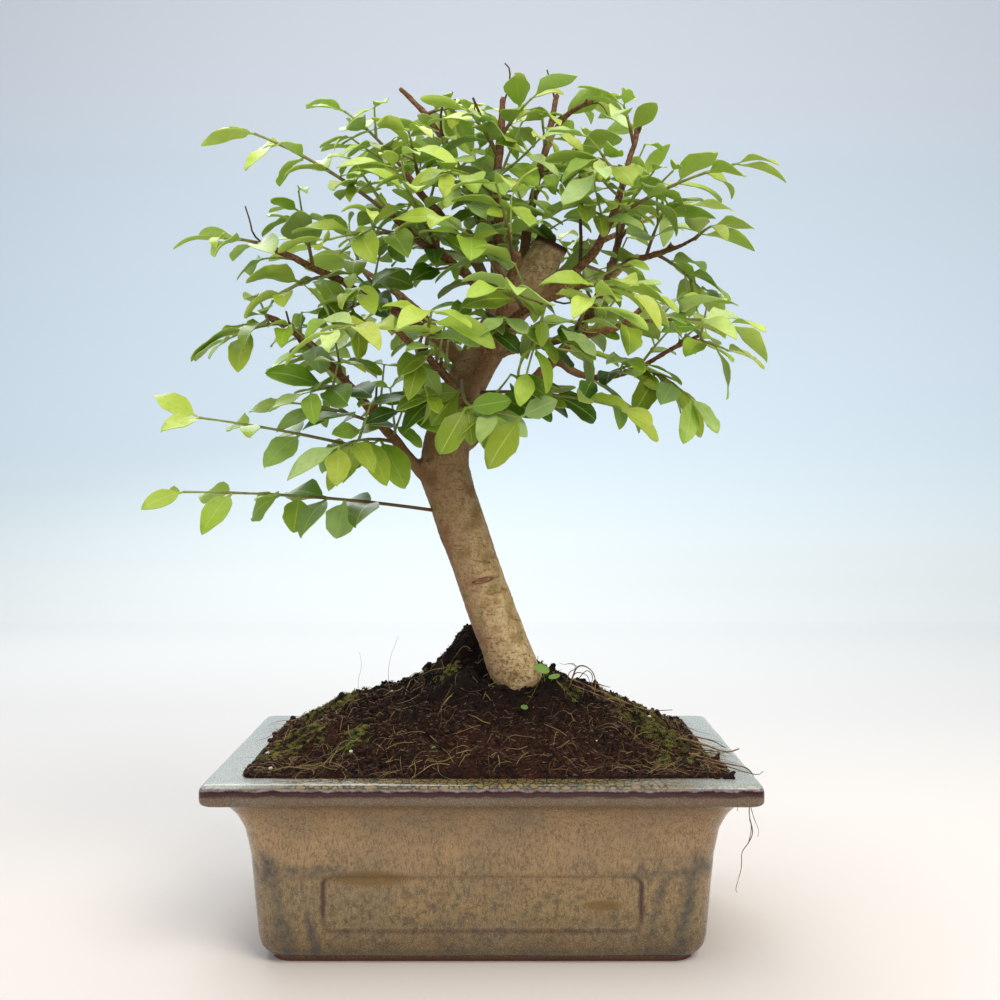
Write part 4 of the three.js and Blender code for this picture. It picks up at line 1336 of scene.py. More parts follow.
STEM = (((30, -8, 52), (13.6, -9, 98), (-2, -7, 140), (-17.2, -3, 186)), (10.4, 9.8, 9.4, 10.2))
UPPER_TRUNK = (((-15, -3, 178), (-9.5, -4, 210), (9, -5, 243), (28.3, -6, 273)), (10, 8.6, 7.4, 6.8))
BOUGHS = {
    "trunk": Bough(((-12, -5, 160), (-14, -5, 176), (-12, -6, 196), (-4, -6, 212)), None, (
        Spray(0.08, (-113, -34, 173), 4, 5, 0.15), Spray(1, (51, -46, 204), 5, 4),
        Spray(0.84, (4, -46, 203), 6, 3, 0.9))),
    "left": Bough(((-21, -4, 178), (-36, -8, 194), (-58, -14, 221), (-84, -20, 241)), (2.2, 1.4), (
        Spray(0.12, (-107, -34, 201), 3, 4), Spray(0.3, (-77, -8, 208), 4), Spray(0.93, (-95, -29, 232), 2),
        Spray(0.48, (-63, -46, 210), 4), Spray(0.22, (-53, -44, 190), 4, 4, 0.6),
        Spray(0.6, (-69, 26, 231), 5))),
    "mid_left": Bough(((-6, -2, 218), (-21, -8, 235), (-52, -18, 253), (-85, -26, 268)), (2.4, 1.2), (
        Spray(0.95, (-97, -36, 268), 2), Spray(0.7, (-73, -42, 247), 3), Spray(0.5, (-53, -50, 237), 3),
        Spray(0.78, (-71, -22, 281), 5), Spray(0.45, (-61, 26, 274), 5))),
    "upper_left": Bough(((5, -6, 242), (-8, -18, 258), (-22, -28, 267), (-34, -36, 277)), (2.3, 1.4), (
        Spray(0.95, (-84, -44, 305), 6, 5), Spray(0.6, (-32, -56, 290), 5), Spray(0.8, (-54, -62, 263), 4))),
    "crown_left": Bough(((6, -8, 247), (-5, -8, 266), (-19, -6, 284), (-33, -2, 303)), (2.4, 1.4), (
        Spray(0.93, (-55, -8, 323), 4), Spray(0.8, (-28, -32, 309), 4))),
    "crown_back_left": Bough(((10, -1, 250), (-1, 14, 283), (-15, 24, 316), (-36, 30, 343)), (2.4, 1.2), (
        Spray(0.85, (-13, 30, 334), 2), Spray(0.6, (-45, 48, 322), 5))),
    "crown": Bough(((9, -8, 245), (6, -10, 272), (6, -6, 305), (8, -2, 330)), (2.6, 1.4), (
        Spray(0.5, (-11, -38, 293), 5), Spray(0.8, (19, -8, 328), 2), Spray(0.7, (-6, -20, 320), 4))),
    "crown_fork": Bough(((26, 12, 315), (32, 8, 324), (37, 4, 327), (44, 0, 329)), (1.4, 1)),
    "crown_right": Bough(((14, -1, 252), (19, 8, 286), (25, 12, 313), (30, 14, 336)), (2.4, 1.3), (
        Spray(0.85, (44, 18, 333), 2), Spray(0.5, (49, 36, 325), 5))),
    "right": Bough(((10, -5, 240), (37, -8, 260), (50, -10, 279), (61, -6, 317)), (2.5, 1.2), (
        Spray(0.93, (55, -12, 324), 2), Spray(0.6, (97, -22, 299), 5, 4), Spray(0.8, (43, -46, 291), 4))),
    "right_back": Bough(((-11, 1, 189), (23, 18, 221), (48, 28, 254), (57, 30, 286)), (3, 1.6), (
        Spray(0.93, (67, 36, 306), 4), Spray(0.7, (33, 58, 284), 5))),
    "right_side": Bough(((54, 28, 264), (65, 22, 270), (76, 16, 272), (88, 8, 277)), (1.9, 0.9), (
        Spray(0.93, (92, 4, 280), 1, 2), Spray(0.4, (74, 0, 288), 4), Spray(0.5, (90, 20, 257), 3))),
    "mid_right": Bough(((5, -8, 228), (30, -26, 231), (50, -37, 235), (62, -43, 246)), (2.2, 1.2), (
        Spray(0.75, (90, -48, 235), 4, 4), Spray(0.5, (40, -68, 242), 4))),
    "low_right": Bough(((30, 20, 228), (49, 8, 219), (67, 0, 225), (86, -6, 235)), (1.8, 0.9), (
        Spray(0.93, (96, -14, 228), 2), Spray(0.6, (80, -22, 209), 3, 3, 0.6))),
    "front": Bough(((-6, -8, 210), (2, -20, 228), (8, -28, 246), (13, -34, 263)), (2.6, 1.9), (
        Spray(0.8, (-12, -62, 270), 5), Spray(0.93, (5, -66, 282), 5))),
    "front_left": Bough(((-9, -8, 207), (-16, -30, 219), (-25, -48, 227), (-34, -62, 233)), (2.2, 1.1), (
        Spray(0.95, (-50, -78, 229), 3), Spray(0.6, (-17, -76, 236), 4))),
    "front_right": Bough(((3, -10, 229), (12, -34, 239), (23, -50, 243), (37, -64, 247)), (2.2, 1.1), (
        Spray(0.95, (52, -78, 242), 3), Spray(0.5, (8, -74, 244), 4))),
    "back_left": Bough(((-6, 1, 220), (-19, 28, 239), (-38, 50, 259), (-62, 70, 275)), (2.6, 1.2), (
        Spray(0.95, (-87, 86, 289), 4), Spray(0.6, (-62, 72, 246), 4))),
    "back_right": Bough(((7, 0, 238), (24, 30, 258), (46, 52, 279), (70, 68, 291)), (2.6, 1.2), (
        Spray(0.95, (94, 80, 304), 4), Spray(0.6, (75, 72, 259), 4))),
    "back": Bough(((9, 0, 246), (3, 28, 275), (-2, 46, 304), (-7, 58, 329)), (2.6, 1.2), (
        Spray(0.95, (-14, 66, 338), 4), Spray(0.6, (25, 76, 320), 5))),
}


Limb = tuple[list[Vector], list[float], list[float]]


@dataclass
class Wood:
    """The trunk and its boughs, grown together and cut back."""

    voxel: float = 0.72
    stub_end: tuple = (27.4, -6, 271.6)
    stub_facing: tuple = (0.42, -0.1, 0.9)
    draw: random.Random = field(default_factory=lambda: random.Random(11))

    def limbs(self) -> list[Limb]:
        """Every limb's points, radii, and youth from 0 on the trunk to 1 on thin wood."""
        limbs = []
        for route, radii in (STEM, UPPER_TRUNK):
            points = Run.through(route).points(34)
            spread = len(radii) - 1
            widths = []
            for i in range(35):
                place = i / 34 * spread
                low = min(int(place), spread - 1)
                even = radii[low] + (radii[low + 1] - radii[low]) * (place - low)
                widths.append(even * (1 + 0.035 * noise.noise(points[i] / 9)))
            limbs.append((points, widths, [0.0] * 35))
        for bough in BOUGHS.values():
            if not bough.radii:
                continue
            steps = 40
            shares = [i / steps for i in range(steps + 1)]
            points = Run.through(bough.route).points(steps)
            thick, thin = bough.radii
            widths = [(thick + (thin - thick) * share) * (1 + 0.16 * noise.noise(point / 5))
                      * (1 + 0.3 * exp(-share * 14)) for share, point in zip(shares, points)]
            crooked = [point + Vector([0.7 * noise.noise(point / 9 + Vector((shift, 0, 0)))
                                       for shift in (0, 7, 14)]) for point in points]
            limbs.append((crooked, widths, [eased(0.04, 0.34, share) for share in shares]))
        return limbs + self.snags()

    def snags(self) -> list[Limb]:
        """Short cut ends of old twigs along the boughs, and the burls they stand on."""
        snags = []
        for bough in BOUGHS.values():
            if not bough.radii:
                continue
            run = Run.through(bough.route)
            for share in (0.38, 0.63, 0.86):
                if self.draw.random() < 0.35:
                    continue
                t = run.parameter(share + self.draw.uniform(-0.06, 0.06))
                root = run.at(t)
                way = Vector([self.draw.uniform(-1, 1) for _ in range(3)])
                way = (way + UP * 0.7 + run.heading(t) * 0.6).normalized()
                thick = bough.radii[0] + (bough.radii[1] - bough.radii[0]) * share
                long = thick + self.draw.uniform(2, 6)
                points = [root, root + way * thick * 0.9, root + way * long]
                snags.append((points, [thick * 0.9, thick * 0.62, thick * 0.45], [1.0] * 3))
        return snags

    def build(self) -> None:
        """Grows the limbs into one skin, then saws the stub, marks the bark's age and its painted crown
        shade, and works its relief.
        """
        limbs = self.limbs()
        bm = tubes([(points, widths) for points, widths, _ in limbs], 4)
        bm = modified(bm, "REMESH", {"mode": "VOXEL", "voxel_size": self.voxel})
        for _ in range(3):
            bmesh.ops.smooth_vert(
                bm, verts=bm.verts, factor=0.5, use_axis_x=True, use_axis_y=True, use_axis_z=True)
        cut = self.saw_stub(bm)
        wood = bm.verts.layers.float_color.new("wood")
        tree = finder(point for points, _, _ in limbs for point in points)
        marks = [mark for _, widths, youths in limbs for mark in zip(widths, youths)]
        bm.normal_update()
        scar = Vector(PrivetBark.scar_middle)
        stub, facing = Vector(self.stub_end), Vector(self.stub_facing).normalized()
        for vert in bm.verts:
            point = vert.co.copy()
            near = [(exp(-1.3 * max(gap - marks[i][0], -1)), *marks[i])
                    for _, i, gap in tree.find_n(point, 16)]
            whole = sum(weight for weight, _, _ in near)
            width = sum(weight * width for weight, width, _ in near) / whole
            youth = sum(weight * youth for weight, _, youth in near) / whole
            # Painted shade under the crown: the trunk between 176 and 262 mm takes some of the young bark's
            # red-browns
            young_or_crown_shaded = max(youth, 0.35 * eased(176, 205, point.z) * eased(262, 235, point.z)
                           * (0.5 + 0.5 * rough(point, 10)))
            below = (stub - point).dot(facing)
            edge = eased(3.3, 1.1, below) if (point - stub).length < 11 else 0.0
            along = Vector((point.x, point.y, point.z * 0.45))
            bark = 0.34 * rough(along, 7) + 0.2 * abs(rough(point, 2.4)) + 0.25 * youth * rough(point, 3, 2)
            bark *= min(1.0, width / 6 + 0.25)
            across, rise = point.x - scar.x, point.z - scar.z
            off = hypot(across / PrivetBark.scar_half[0],
                             (rise - PrivetBark.scar_tilt * across) / PrivetBark.scar_half[1])
            if point.y < -9 and off < 2:
                bark += 0.5 * exp(-((off - 0.85) / 0.3) ** 2)
                bark -= 0.25 * exp(-((off - 0.35) / 0.15) ** 2)
            sawn = 1.0 if vert in cut else 0.0
            vert[wood] = (young_or_crown_shaded, sawn, edge * (1 - sawn), 1.0)
            if not sawn:
                vert.co = point + vert.normal * bark
        finished("bark", bm, PrivetBark(), Slot.BARK, ["trunk"])

    def build_dead_twigs(self) -> None:
        """Last year's twigs that died back after pruning: where each is rooted, where it goes, its radius."""
        twigs = (
            (((8, -2, 328), (10.2, -3, 334), (10.6, -3, 341), (8.4, -3, 343.4)), 0.42),
            (((29, 14, 334), (27.6, 13, 339), (26.8, 13, 342), (25.8, 13, 345.6)), 0.42),
            (((43, 0, 328), (46, 0, 328.6), (48.5, 0, 326.2), (49.4, -1, 323.4)), 0.3),
            (((6, -6, 304), (3, -7, 312), (-0.6, -8, 320), (-4.2, -9, 328)), 0.7),
            (((-0.6, -8, 320), (-3.6, -9, 322.6), (-3.4, -9, 325.6)), 0.35),
            (((-17, 25, 318), (-18.6, 22, 327), (-17, 20, 335.5)), 0.7),
            (((6, -10, 272), (3.5, -14, 279), (1.4, -16, 285)), 1.1),
            (((38, -8, 261), (38.6, -8, 270), (38.2, -9, 280), (38.4, -8, 297), (36.6, -8, 308)), 0.85),
            (((56, 29, 277), (61, 28, 284), (66, 27, 288)), 0.75),
            (((61, -6, 315), (62.6, -7, 319.5), (62, -7, 322)), 1.0),
            (((-84, -26, 267.6), (-87.6, -28, 271), (-88.6, -28, 276), (-90.4, -28, 281.6)), 0.4),
            (((-71, -17.5, 230.6), (-75, -18, 237), (-76.5, -18.5, 243)), 0.6),
            (((-40, -9, 198.5), (-42.5, -11, 207), (-42, -12, 214)), 0.6),
            (((24, -3, 251.8), (30, -8, 247), (37, -12, 247.5)), 0.5),
        )
        runs = [tapered(rounded(points, 1), radius, 0.35) for points, radius in twigs]
        finished("dead_twigs", tubes(runs, 1), DeadBark(), Slot.BARK)

    def saw_stub(self, bm: BMesh) -> set[BMVert]:
        """Cuts the upper trunk off flat, and returns the vertices inside the cut's face."""
        end, facing = Vector(self.stub_end), Vector(self.stub_facing).normalized()
        near = [vert for vert in bm.verts if (vert.co - end).length < 13]
        faces = {face for vert in near for face in vert.link_faces}
        around = [*{vert for face in faces for vert in face.verts},
                  *{edge for face in faces for edge in face.edges}, *faces]
        bmesh.ops.bisect_plane(bm, geom=around, plane_co=end, plane_no=facing, clear_outer=True)
        rim = [edge for edge in bm.edges if edge.is_boundary]
        filled = bmesh.ops.holes_fill(bm, edges=rim, sides=0)["faces"]
        bmesh.ops.inset_region(bm, faces=filled, thickness=0.8, depth=-0.15)
        centres = bmesh.ops.poke(bm, faces=filled)["verts"]
        return {*centres, *(vert for centre in centres for edge in centre.link_edges for vert in edge.verts)}


# Leaves


class Draws:
    """A repeatable stream of numbers from 0 to 1, the one that the frame's leaves were grown with."""

    def __init__(self, seed: int) -> None:
        """Starts the stream."""
        self.state = (seed + 1) * 2654435761 & 0xFFFFFFFF

    def __call__(self) -> float:
        """The next number."""
        self.state = (self.state * 1664525 + 1013904223) & 0xFFFFFFFF
        return self.state / 4294967296

    def either(self) -> float:
        """The next number, from -1 to 1."""
        return 2 * self() - 1

    def any_way(self, size: float) -> Vector:
        """A vector of three such numbers, at that size."""
        return Vector((self.either(), self.either(), self.either())) * size


@dataclass
class Leaf:
    """One leaf's place and form."""

    base: Vector
    heading: Vector
    facing: Vector
    length: float
    width: float
    arch: float
    fold: float = 0.3
    wave: float = 0.05
    twist: float = 0.0
    taper: float = 0.3
    belly: float = 0.95
    curl: float = 0.2
    age: float = 0.5
    tone: float = 0.5

    def middle(self) -> Vector:
        """The middle of the blade."""
        return self.base + self.heading * self.length * 0.55 - self.facing * self.arch * self.length * 0.3

    def tip(self, lift: float) -> Vector:
        """The tip of the blade, that far above its middle plane."""
        return self.base + self.heading * self.length + self.facing * (lift - self.arch * self.length)

    def breadth(self, along: float) -> float:
        """Half the blade's width at a share of its length, as a share of its greatest half width."""
        blade = (along - LeafBed.stalk) / (1 - LeafBed.stalk)
        if blade <= 0:
            return 0.08
        oval = sqrt(max(0.0, 1 - abs(2 * blade ** self.belly - 1) ** 2.1))
        return max(0.05, oval * (1 - 0.5 * exp(-7 * blade)) * (1 - self.taper * blade ** 4))

    def point(self, along: float, across: float, above: float) -> Vector:
        """A point of the leaf from its share of the length, side from -1 to 1, and layer from -1 to 1."""
        blade = eased(LeafBed.stalk - 0.04, 0.4, along)
        swing = 2 * pi * (along - 0.34) / 0.76
        lobes = 1 + 2.2 * self.wave * blade * cos(2 * swing + 3 * across + 9 * self.tone)
        half = self.width / 2 * self.breadth(along) * lobes
        side = half * across
        ripple = self.wave * self.length * cos(swing + across)
        lift = ripple * abs(across) ** 1.5 * blade + self.fold * half * abs(across) ** 1.2 * blade
        turn = self.twist * (along - 0.3)
        thick = LeafBed.thickness / 2 * (1 if along > LeafBed.stalk else 1.5)
        sway = self.facing.cross(self.heading)
        level, steep = cos(turn), sin(turn)
        side, lift = side * level - lift * steep, side * steep + lift * level
        bend = self.arch * along * along + self.curl * max(along - 0.55, 0) ** 2
        lift += above * thick - bend * self.length
        return self.base + self.heading * along * self.length + sway * side + self.facing * lift


@dataclass(frozen=True)
class Site:
    """A place on a twig where a leaf stands: the way the twig goes on, the leaf's side, how far along."""

    at: Vector
    onward: Vector
    lateral: Vector
    along: float
    last: bool


@dataclass
class Growth:
    """The rule that twigs carry their leaves by, in opposite pairs, every other pair turned further."""

    bare: float = 0.3
    pair_turns: tuple = (4, 28)
    spread: float = 56
    tip_spread: float = 33
    spread_stray: float = 12
    stray: float = 0.25
    stray_more: float = 0.36
    outward_lean: float = 0.3
    levelling: float = 0.62
    length: float = 20
    frame_thickness: float = 0.6
    tries: int = 14
    shrink: float = 0.025

    def sites(self, twig: Run, pairs: int) -> list[Site]:
        """Where the leaves stand, two by two."""
        sites = []
        for pair in range(pairs):
            along = self.bare + (1 - self.bare) * pair / (pairs - 1)
            at, onward = twig.at(along), twig.heading(along)
            side = onward.cross(UP).normalized()
            over = side.cross(onward)
            turn = radians(self.pair_turns[pair % 2])
            for hand in (-1, 1):
                lateral = side * hand * cos(turn) + over * hand * sin(turn)
                sites.append(Site(at, onward, lateral, along, pair == pairs - 1))
        return sites

    def leaf(self, site: Site, droop: float, draw: Draws, attempt: int = 0) -> Leaf:
        """One try at a leaf; each further try strays more and is a little shorter."""
        spread = self.tip_spread if site.last else self.spread
        spread = radians(spread + self.spread_stray * draw.either())
        heading = site.onward * cos(spread) + site.lateral * sin(spread)
        heading.z = heading.z * self.levelling - droop * (0.4 + 1.2 * draw())
        heading = (heading + draw.any_way(self.stray * (1 + self.stray_more * attempt))).normalized()
        outward = Vector((site.at.x, site.at.y, 0)).normalized()
        facing = draw.any_way(2 * self.stray) + UP + outward * self.outward_lean
        facing = (facing - heading * facing.dot(heading)).normalized()
        middling = sin(pi * (0.15 + 0.7 * site.along))
        length = self.length * (0.78 + 0.3 * middling) * (0.85 + 0.35 * draw()) * (1 - self.shrink * attempt)
        width = length * (0.46 + 0.12 * draw())
        return Leaf(site.at, heading, facing, length, width, 0.1 + 0.22 * draw())

    def framed_leaf(self, site: Site, droop: float, draw: Draws, corners: KDTree) -> Optional[Leaf]:
        """The try at a leaf that the frame kept: the first whose tip is a corner of the spray's node."""
        for attempt in range(self.tries):
            leaf = self.leaf(site, droop, draw, attempt)
            if corners.find(leaf.tip(self.frame_thickness / 2))[2] < 0.05:
                return leaf
        return None


class LeafBed:
    """A piece of many leaves, each shaped from one pattern of a blade."""

    stalk = 0.12
    thickness = 0.34
    rows = (0, 0.13, 0.19, 0.29, 0.41, 0.54, 0.67, 0.79, 0.89, 0.96, 1)
    columns = 2

    def __init__(self) -> None:
        """Starts with no leaves, and makes the pattern: a flat blade with both its faces and its rim."""
        self.leaves: list[Leaf] = []
        bm = bmesh.new()
        uv = bm.loops.layers.uv.new("blade")
        rows = len(self.rows) - 1
        sheet(bm, self.columns, rows, lambda i, j: Vector((i / self.columns, self.rows[j], 0)))
        bm.normal_update()
        bmesh.ops.solidify(bm, geom=bm.faces[:], thickness=1)
        low = min(vert.co.z for vert in bm.verts)
        for vert in bm.verts:
            vert.co.z -= low
        for face in bm.faces:
            for loop in face.loops:
                loop[uv].uv = loop.vert.co.xy
        bmesh.ops.recalc_face_normals(bm, faces=bm.faces)
        self.pattern = used_up(bm)

    def build(self, name: str, replaced: Iterable[str] = ()) -> None:
        """Shapes every leaf from the pattern, as one piece."""
        bm = bmesh.new()
        for _ in self.leaves:
            bm.from_mesh(self.pattern)
        layer = bm.verts.layers.float_color.new("leaf")
        verts = list(bm.verts)
        each = len(self.pattern.vertices)
        for i, leaf in enumerate(self.leaves):
            for vert in verts[i * each:(i + 1) * each]:
                across, along, layer_height = vert.co
                vert[layer] = (leaf.age, leaf.tone, 1 - round(layer_height), 1)
                vert.co = leaf.point(along, 2 * across - 1, 2 * layer_height - 1)
        bpy.data.meshes.remove(self.pattern)
        finished(name, bm, PrivetLeaf(), Slot.LEAVES, replaced, radians(75))


@dataclass
class Foliage:
    """All the sprays, the small shoots between them, and the twigs that carry them."""

    frame: dict
    growth: Growth = field(default_factory=Growth)
    canopy_middle: tuple = (0, -5, 250)
    canopy_reach: tuple = (112, 82, 96)
    twig_steps: int = 12
    leaf_room: float = 6
    low_turn: float = 1.1
    highest_leaf: float = 334
    lowest_leaf: float = 188
    # Where wood or sky shows between the leaves: middle in x and z, half its size, depth
    windows: tuple = (
        ((26, 262), (12, 16), -6), ((-4, 217), (11, 14), -8), ((50, 262), (9, 12), -10),
        ((-61, 244), (9, 9), 60), ((-88, 271), (8, 8), 60), ((101, 275), (8, 12), 60),
    )
    # Shoots that fill the crown's front: the bough, how far along it, the way, the length
    front_shoots: tuple = (
        ("right", 0.55, (-0.25, -0.75, 0.6), 25), ("right", 0.45, (-0.1, -0.6, 0.9), 28),
        ("right", 0.7, (-0.5, -0.6, 0.4), 25), ("crown_right", 0.5, (0.5, -0.85, 0.15), 30),
        ("crown_right", 0.42, (0, -1, 0.1), 30), ("crown", 0.35, (0.45, -0.7, 0.5), 26),
        ("crown", 0.42, (-0.55, -0.7, 0.3), 26), ("crown", 0.62, (0.6, -0.6, 0.4), 25),
        ("crown_right", 0.75, (-0.1, -0.9, 0.2), 26), ("crown_left", 0.95, (-0.75, -0.4, 0.4), 26),
        ("crown_left", 0.8, (-0.8, -0.5, 0.5), 28), ("upper_left", 0.9, (-0.6, -0.1, 0.8), 30),
        ("left", 0.25, (0.3, -0.7, 0.65), 25), ("crown", 0.2, (0.1, -0.8, 0.7), 26),
        ("right", 0.6, (-0.6, -0.5, 0.2), 25), ("right", 0.38, (0.2, -0.6, 1), 28),
        ("crown_right", 0.6, (0.7, -0.7, 0), 26), ("right", 0.5, (-0.4, 0.2, 0.8), 26),
        ("left", 0.1, (0.5, -0.7, 0.4), 25), ("crown_left", 0.7, (-0.6, -0.7, 0.1), 26),
    )
    # The shoot that hangs before the trunk, and the broad hanging leaves by base, tip and width
    hanging_twig: tuple = (
        (-8, -22, 216), (-8, -36, 211), (-5.5, -47, 204.5), (4, -50, 202.4), (14, -51, 200.5),
    )
    hanging_leaves: tuple = (
        ((-6, -47, 204.4), (-14.6, -54, 188), 10.4), ((-5.4, -48, 204), (9.6, -55, 206.6), 8.4),
        ((-5.6, -46, 204), (-3.4, -50, 191), 7.4), ((-8, -37, 210.6), (-23, -43, 209), 7.6),
        ((14, -51, 200.5), (1.8, -56, 183), 11.6), ((14, -51, 200.5), (26.4, -55, 206.6), 8.2),
        ((4, -50, 202.4), (8.4, -52, 191.4), 7.2), ((-8.6, -36, 210.8), (-19, -42, 199.4), 9.4),
        ((-71, -22, 171.5), (-72.5, -27, 158), 10.8), ((-54, -17, 169.6), (-56.5, -23, 155.5), 12.5),
    )
    # Seeds: the leaves' ripening, the hanging leaves, and shoots on twigs, on boughs and in front
    ripe_seed: int = 9000
    hanging_seed: int = 31
    twig_seed: int = 50000
    bough_seed: int = 70000
    front_seed: int = 90000
    shoots_per_twig: int = 2
    shoots_per_bough: int = 7
    twigs: list = field(default_factory=list)
    crowd: list = field(default_factory=list)
    draw: random.Random = field(default_factory=lambda: random.Random(23))

    def exposure(self, point: Vector) -> float:
        """How far out in the crown a point lies: 0 in its middle, about 1 at its edge."""
        offset = point - Vector(self.canopy_middle)
        return sqrt(sum((part / reach) ** 2 for part, reach in zip(offset, self.canopy_reach)))

    def ripen(self, leaf: Leaf, along: float, draw: Draws) -> Leaf:
        """Gives a leaf its age, which also paints shade by making leaves deep inside and low in the crown
        darker, and the small turns of form that come with it.
        """
        out = self.exposure(leaf.middle())
        high = (leaf.base.z - self.canopy_middle[2]) / self.canopy_reach[2]
        # Leaves age towards the crown's inside and bottom, where their darker greens also stand as painted
        # shade
        leaf.age = min(max(1.12 - 0.6 * out - 0.2 * along - 0.3 * high + 0.2 * draw.either(), 0), 1)
        low = 1 - eased(195, 235, leaf.base.z)
        turned = leaf.facing - Vector((0, self.low_turn * low, 0))
        leaf.facing = (turned - leaf.heading * turned.dot(leaf.heading)).normalized()
        leaf.tone = draw()
        leaf.fold = (0.1 + 0.35 * draw()) * (1 - 0.6 * low)
        leaf.wave = 0.01 + 0.035 * draw()
        leaf.twist = 0.8 * draw.either() * (1 - 0.6 * low)
        leaf.taper = 0.1 + 0.25 * draw() + 0.35 * (1 - leaf.age)
        leaf.belly = 0.85 + 0.3 * draw()
        leaf.curl = 0.6 * draw()
        leaf.width *= 0.68 + 0.45 * leaf.age
        return leaf

    def has_room(self, leaf: Leaf, share: float = 1.0) -> bool:
        """Whether a leaf's middle lies clear of every leaf so far."""
        middle = leaf.middle()
        reach = self.leaf_room * share
        return all((middle - other).length > reach for other in self.crowd)

    def hides_wood(self, leaf: Leaf) -> bool:
        """Whether a leaf would stand before a stretch of bare wood that the front view shows."""
        middle = leaf.middle()
        eye = Vector(Studio.camera)
        for (x, z), (half_x, half_z), depth in self.windows:
            scale = (depth - eye.y) / (middle.y - eye.y)
            seen_x, seen_z = eye.x + (middle.x - eye.x) * scale, eye.z + (middle.z - eye.z) * scale
            if middle.y < depth and hypot((seen_x - x) / (half_x + 5), (seen_z - z) / (half_z + 4)) < 1:
                return True
        return False

    def add_twig(self, run: Run, radii: tuple[float, float], pairs: int) -> None:
        """Keeps a twig, a little swollen where its leaves stand."""
        points, widths = [], []
        for i in range(self.twig_steps + 1):
            share = i / self.twig_steps
            points.append(run.at(share))
            swell = 1.0
            for pair in range(pairs):
                node = self.growth.bare + (1 - self.growth.bare) * pair / max(pairs - 1, 1)
                swell += 0.35 * exp(-((share - node) / 0.03) ** 2)
            widths.append((radii[0] + (radii[1] - radii[0]) * share) * swell)
        self.twigs.append((points, widths))

    def shoot(self, bed: LeafBed, root: Vector, way: Vector, length: float, pairs: int, seed: int) -> None:
        """Grows a small shoot with small leaves, wherever there is room for them."""
        draw = Draws(seed)
        tip = root + way * length
        run = Run((root, root.lerp(tip, 0.5) + UP * length * 0.12 * draw.either(), tip))
        kept = []
        for site in self.growth.sites(run, pairs):
            leaf = self.growth.leaf(site, 0.3, draw)
            size = 0.58 + 0.3 * draw()
            leaf.length *= size
            leaf.width *= size * (0.95 + 0.15 * draw())
            tip = leaf.tip(0)
            inside = self.lowest_leaf < tip.z < self.highest_leaf and self.exposure(tip) < 0.9
            if inside and self.has_room(leaf) and not self.hides_wood(leaf):
                kept.append(self.ripen(leaf, site.along, draw))
        if len(kept) < pairs or kept[-1].base != run.at(1):
            return
        bed.leaves += kept
        self.crowd += [leaf.middle() for leaf in kept]
        self.add_twig(run, (0.62, 0.34), pairs)

    def build_front_shoots(self) -> None:
        """The shoots that close the crown towards the front."""
        bed = LeafBed()
        for number, (name, along, way, length) in enumerate(self.front_shoots):
            run = Run.through(BOUGHS[name].route)
            root = run.at(run.parameter(along))
            self.shoot(bed, root, Vector(way).normalized(), length, 3, self.front_seed + number)
        bed.build("shoots_crown_front")

    def build_hanging_shoot(self) -> None:
        """The broad leaves that hang from a shoot before the trunk and from the lowest twig."""
        bed, draw = LeafBed(), Draws(self.hanging_seed)
        for base, tip, width in self.hanging_leaves:
            along = Vector(tip) - Vector(base)
            heading = along.normalized()
            facing = Vector((0, -1, 0.5)) + draw.any_way(0.35)
            facing = (facing - heading * facing.dot(heading)).normalized()
            leaf = self.ripen(Leaf(Vector(base), heading, facing, along.length, width, 0.12), 0.5, draw)
            leaf.width, leaf.age, leaf.wave = width, 0.55 + 0.2 * draw(), 0.035
            bed.leaves.append(leaf)
            self.crowd.append(leaf.middle())
        line = rounded(self.hanging_twig)
        self.twigs.append((line, [0.75 - 0.35 * i / len(line) for i in range(len(line))]))
        bed.build("leaves_hanging")

    def any_direction(self, lean: Vector) -> Vector:
        """A random way, leaning towards the one given."""
        return (Vector([self.draw.uniform(-1, 1) for _ in range(3)]) + lean).normalized()

    def build(self) -> None:
        """The frame's sprays first, then the shoots on them and on the boughs, then all the twigs."""
        sprays = [(f"spray_{name}_{i + 1}", spray, Run.through(bough.route))
                  for name, bough in BOUGHS.items() for i, spray in enumerate(bough.sprays)]
        beds, found, sought = {}, 0, 0
        for number, (name, spray, bough) in enumerate(sprays):
            bed = beds[name] = LeafBed()
            twig = spray.twig(bough)
            self.add_twig(twig, (0.85, 0.4), spray.pairs)
            tree = finder(vert.co / MM for vert in self.frame["nodes"][name].data.vertices)
            for place, site in enumerate(self.growth.sites(twig, spray.pairs)):
                sought += 1
                leaf = self.growth.framed_leaf(site, spray.droop, Draws(100 * number + place), tree)
                if leaf:
                    found += 1
                    draw = Draws(self.ripe_seed + 100 * number + place)
                    bed.leaves.append(self.ripen(leaf, site.along, draw))
                    self.crowd.append(leaf.middle())
        LOG.info("frame leaves found: %d of %d places", found, sought)
        for number, (name, spray, bough) in enumerate(sprays):
            twig = spray.twig(bough)
            for step in range(self.shoots_per_twig):
                along = self.draw.uniform(0.18, 0.9)
                way = self.any_direction(twig.heading(along) * 1.1 + UP * 0.5)
                length = self.draw.uniform(9, 20)
                self.shoot(beds[name], twig.at(along), way, length, 2, self.twig_seed + 10 * number + step)
            beds[name].build(f"leaves_{name[6:]}", [name])
        for number, (name, bough) in enumerate(BOUGHS.items()):
            if not bough.radii:
                continue
            bed, run = LeafBed(), Run.through(bough.route)
            for step in range(self.shoots_per_bough):
                along = 0.22 + 0.74 * step / (self.shoots_per_bough - 1)
                root = run.at(run.parameter(along))
                outward = (root - Vector(self.canopy_middle)).normalized()
                way = self.any_direction(run.heading(along) * 0.5 + outward * 0.5 + UP * 0.4)
                length = self.draw.uniform(12, 28)
                pairs = 3 if length > 24 else 2
                self.shoot(bed, root, way, length, pairs, self.bough_seed + 100 * number + step)
            if bed.leaves:
                bed.build(f"shoots_{name}")
        self.build_front_shoots()
        self.build_hanging_shoot()
        self.build_twigs()

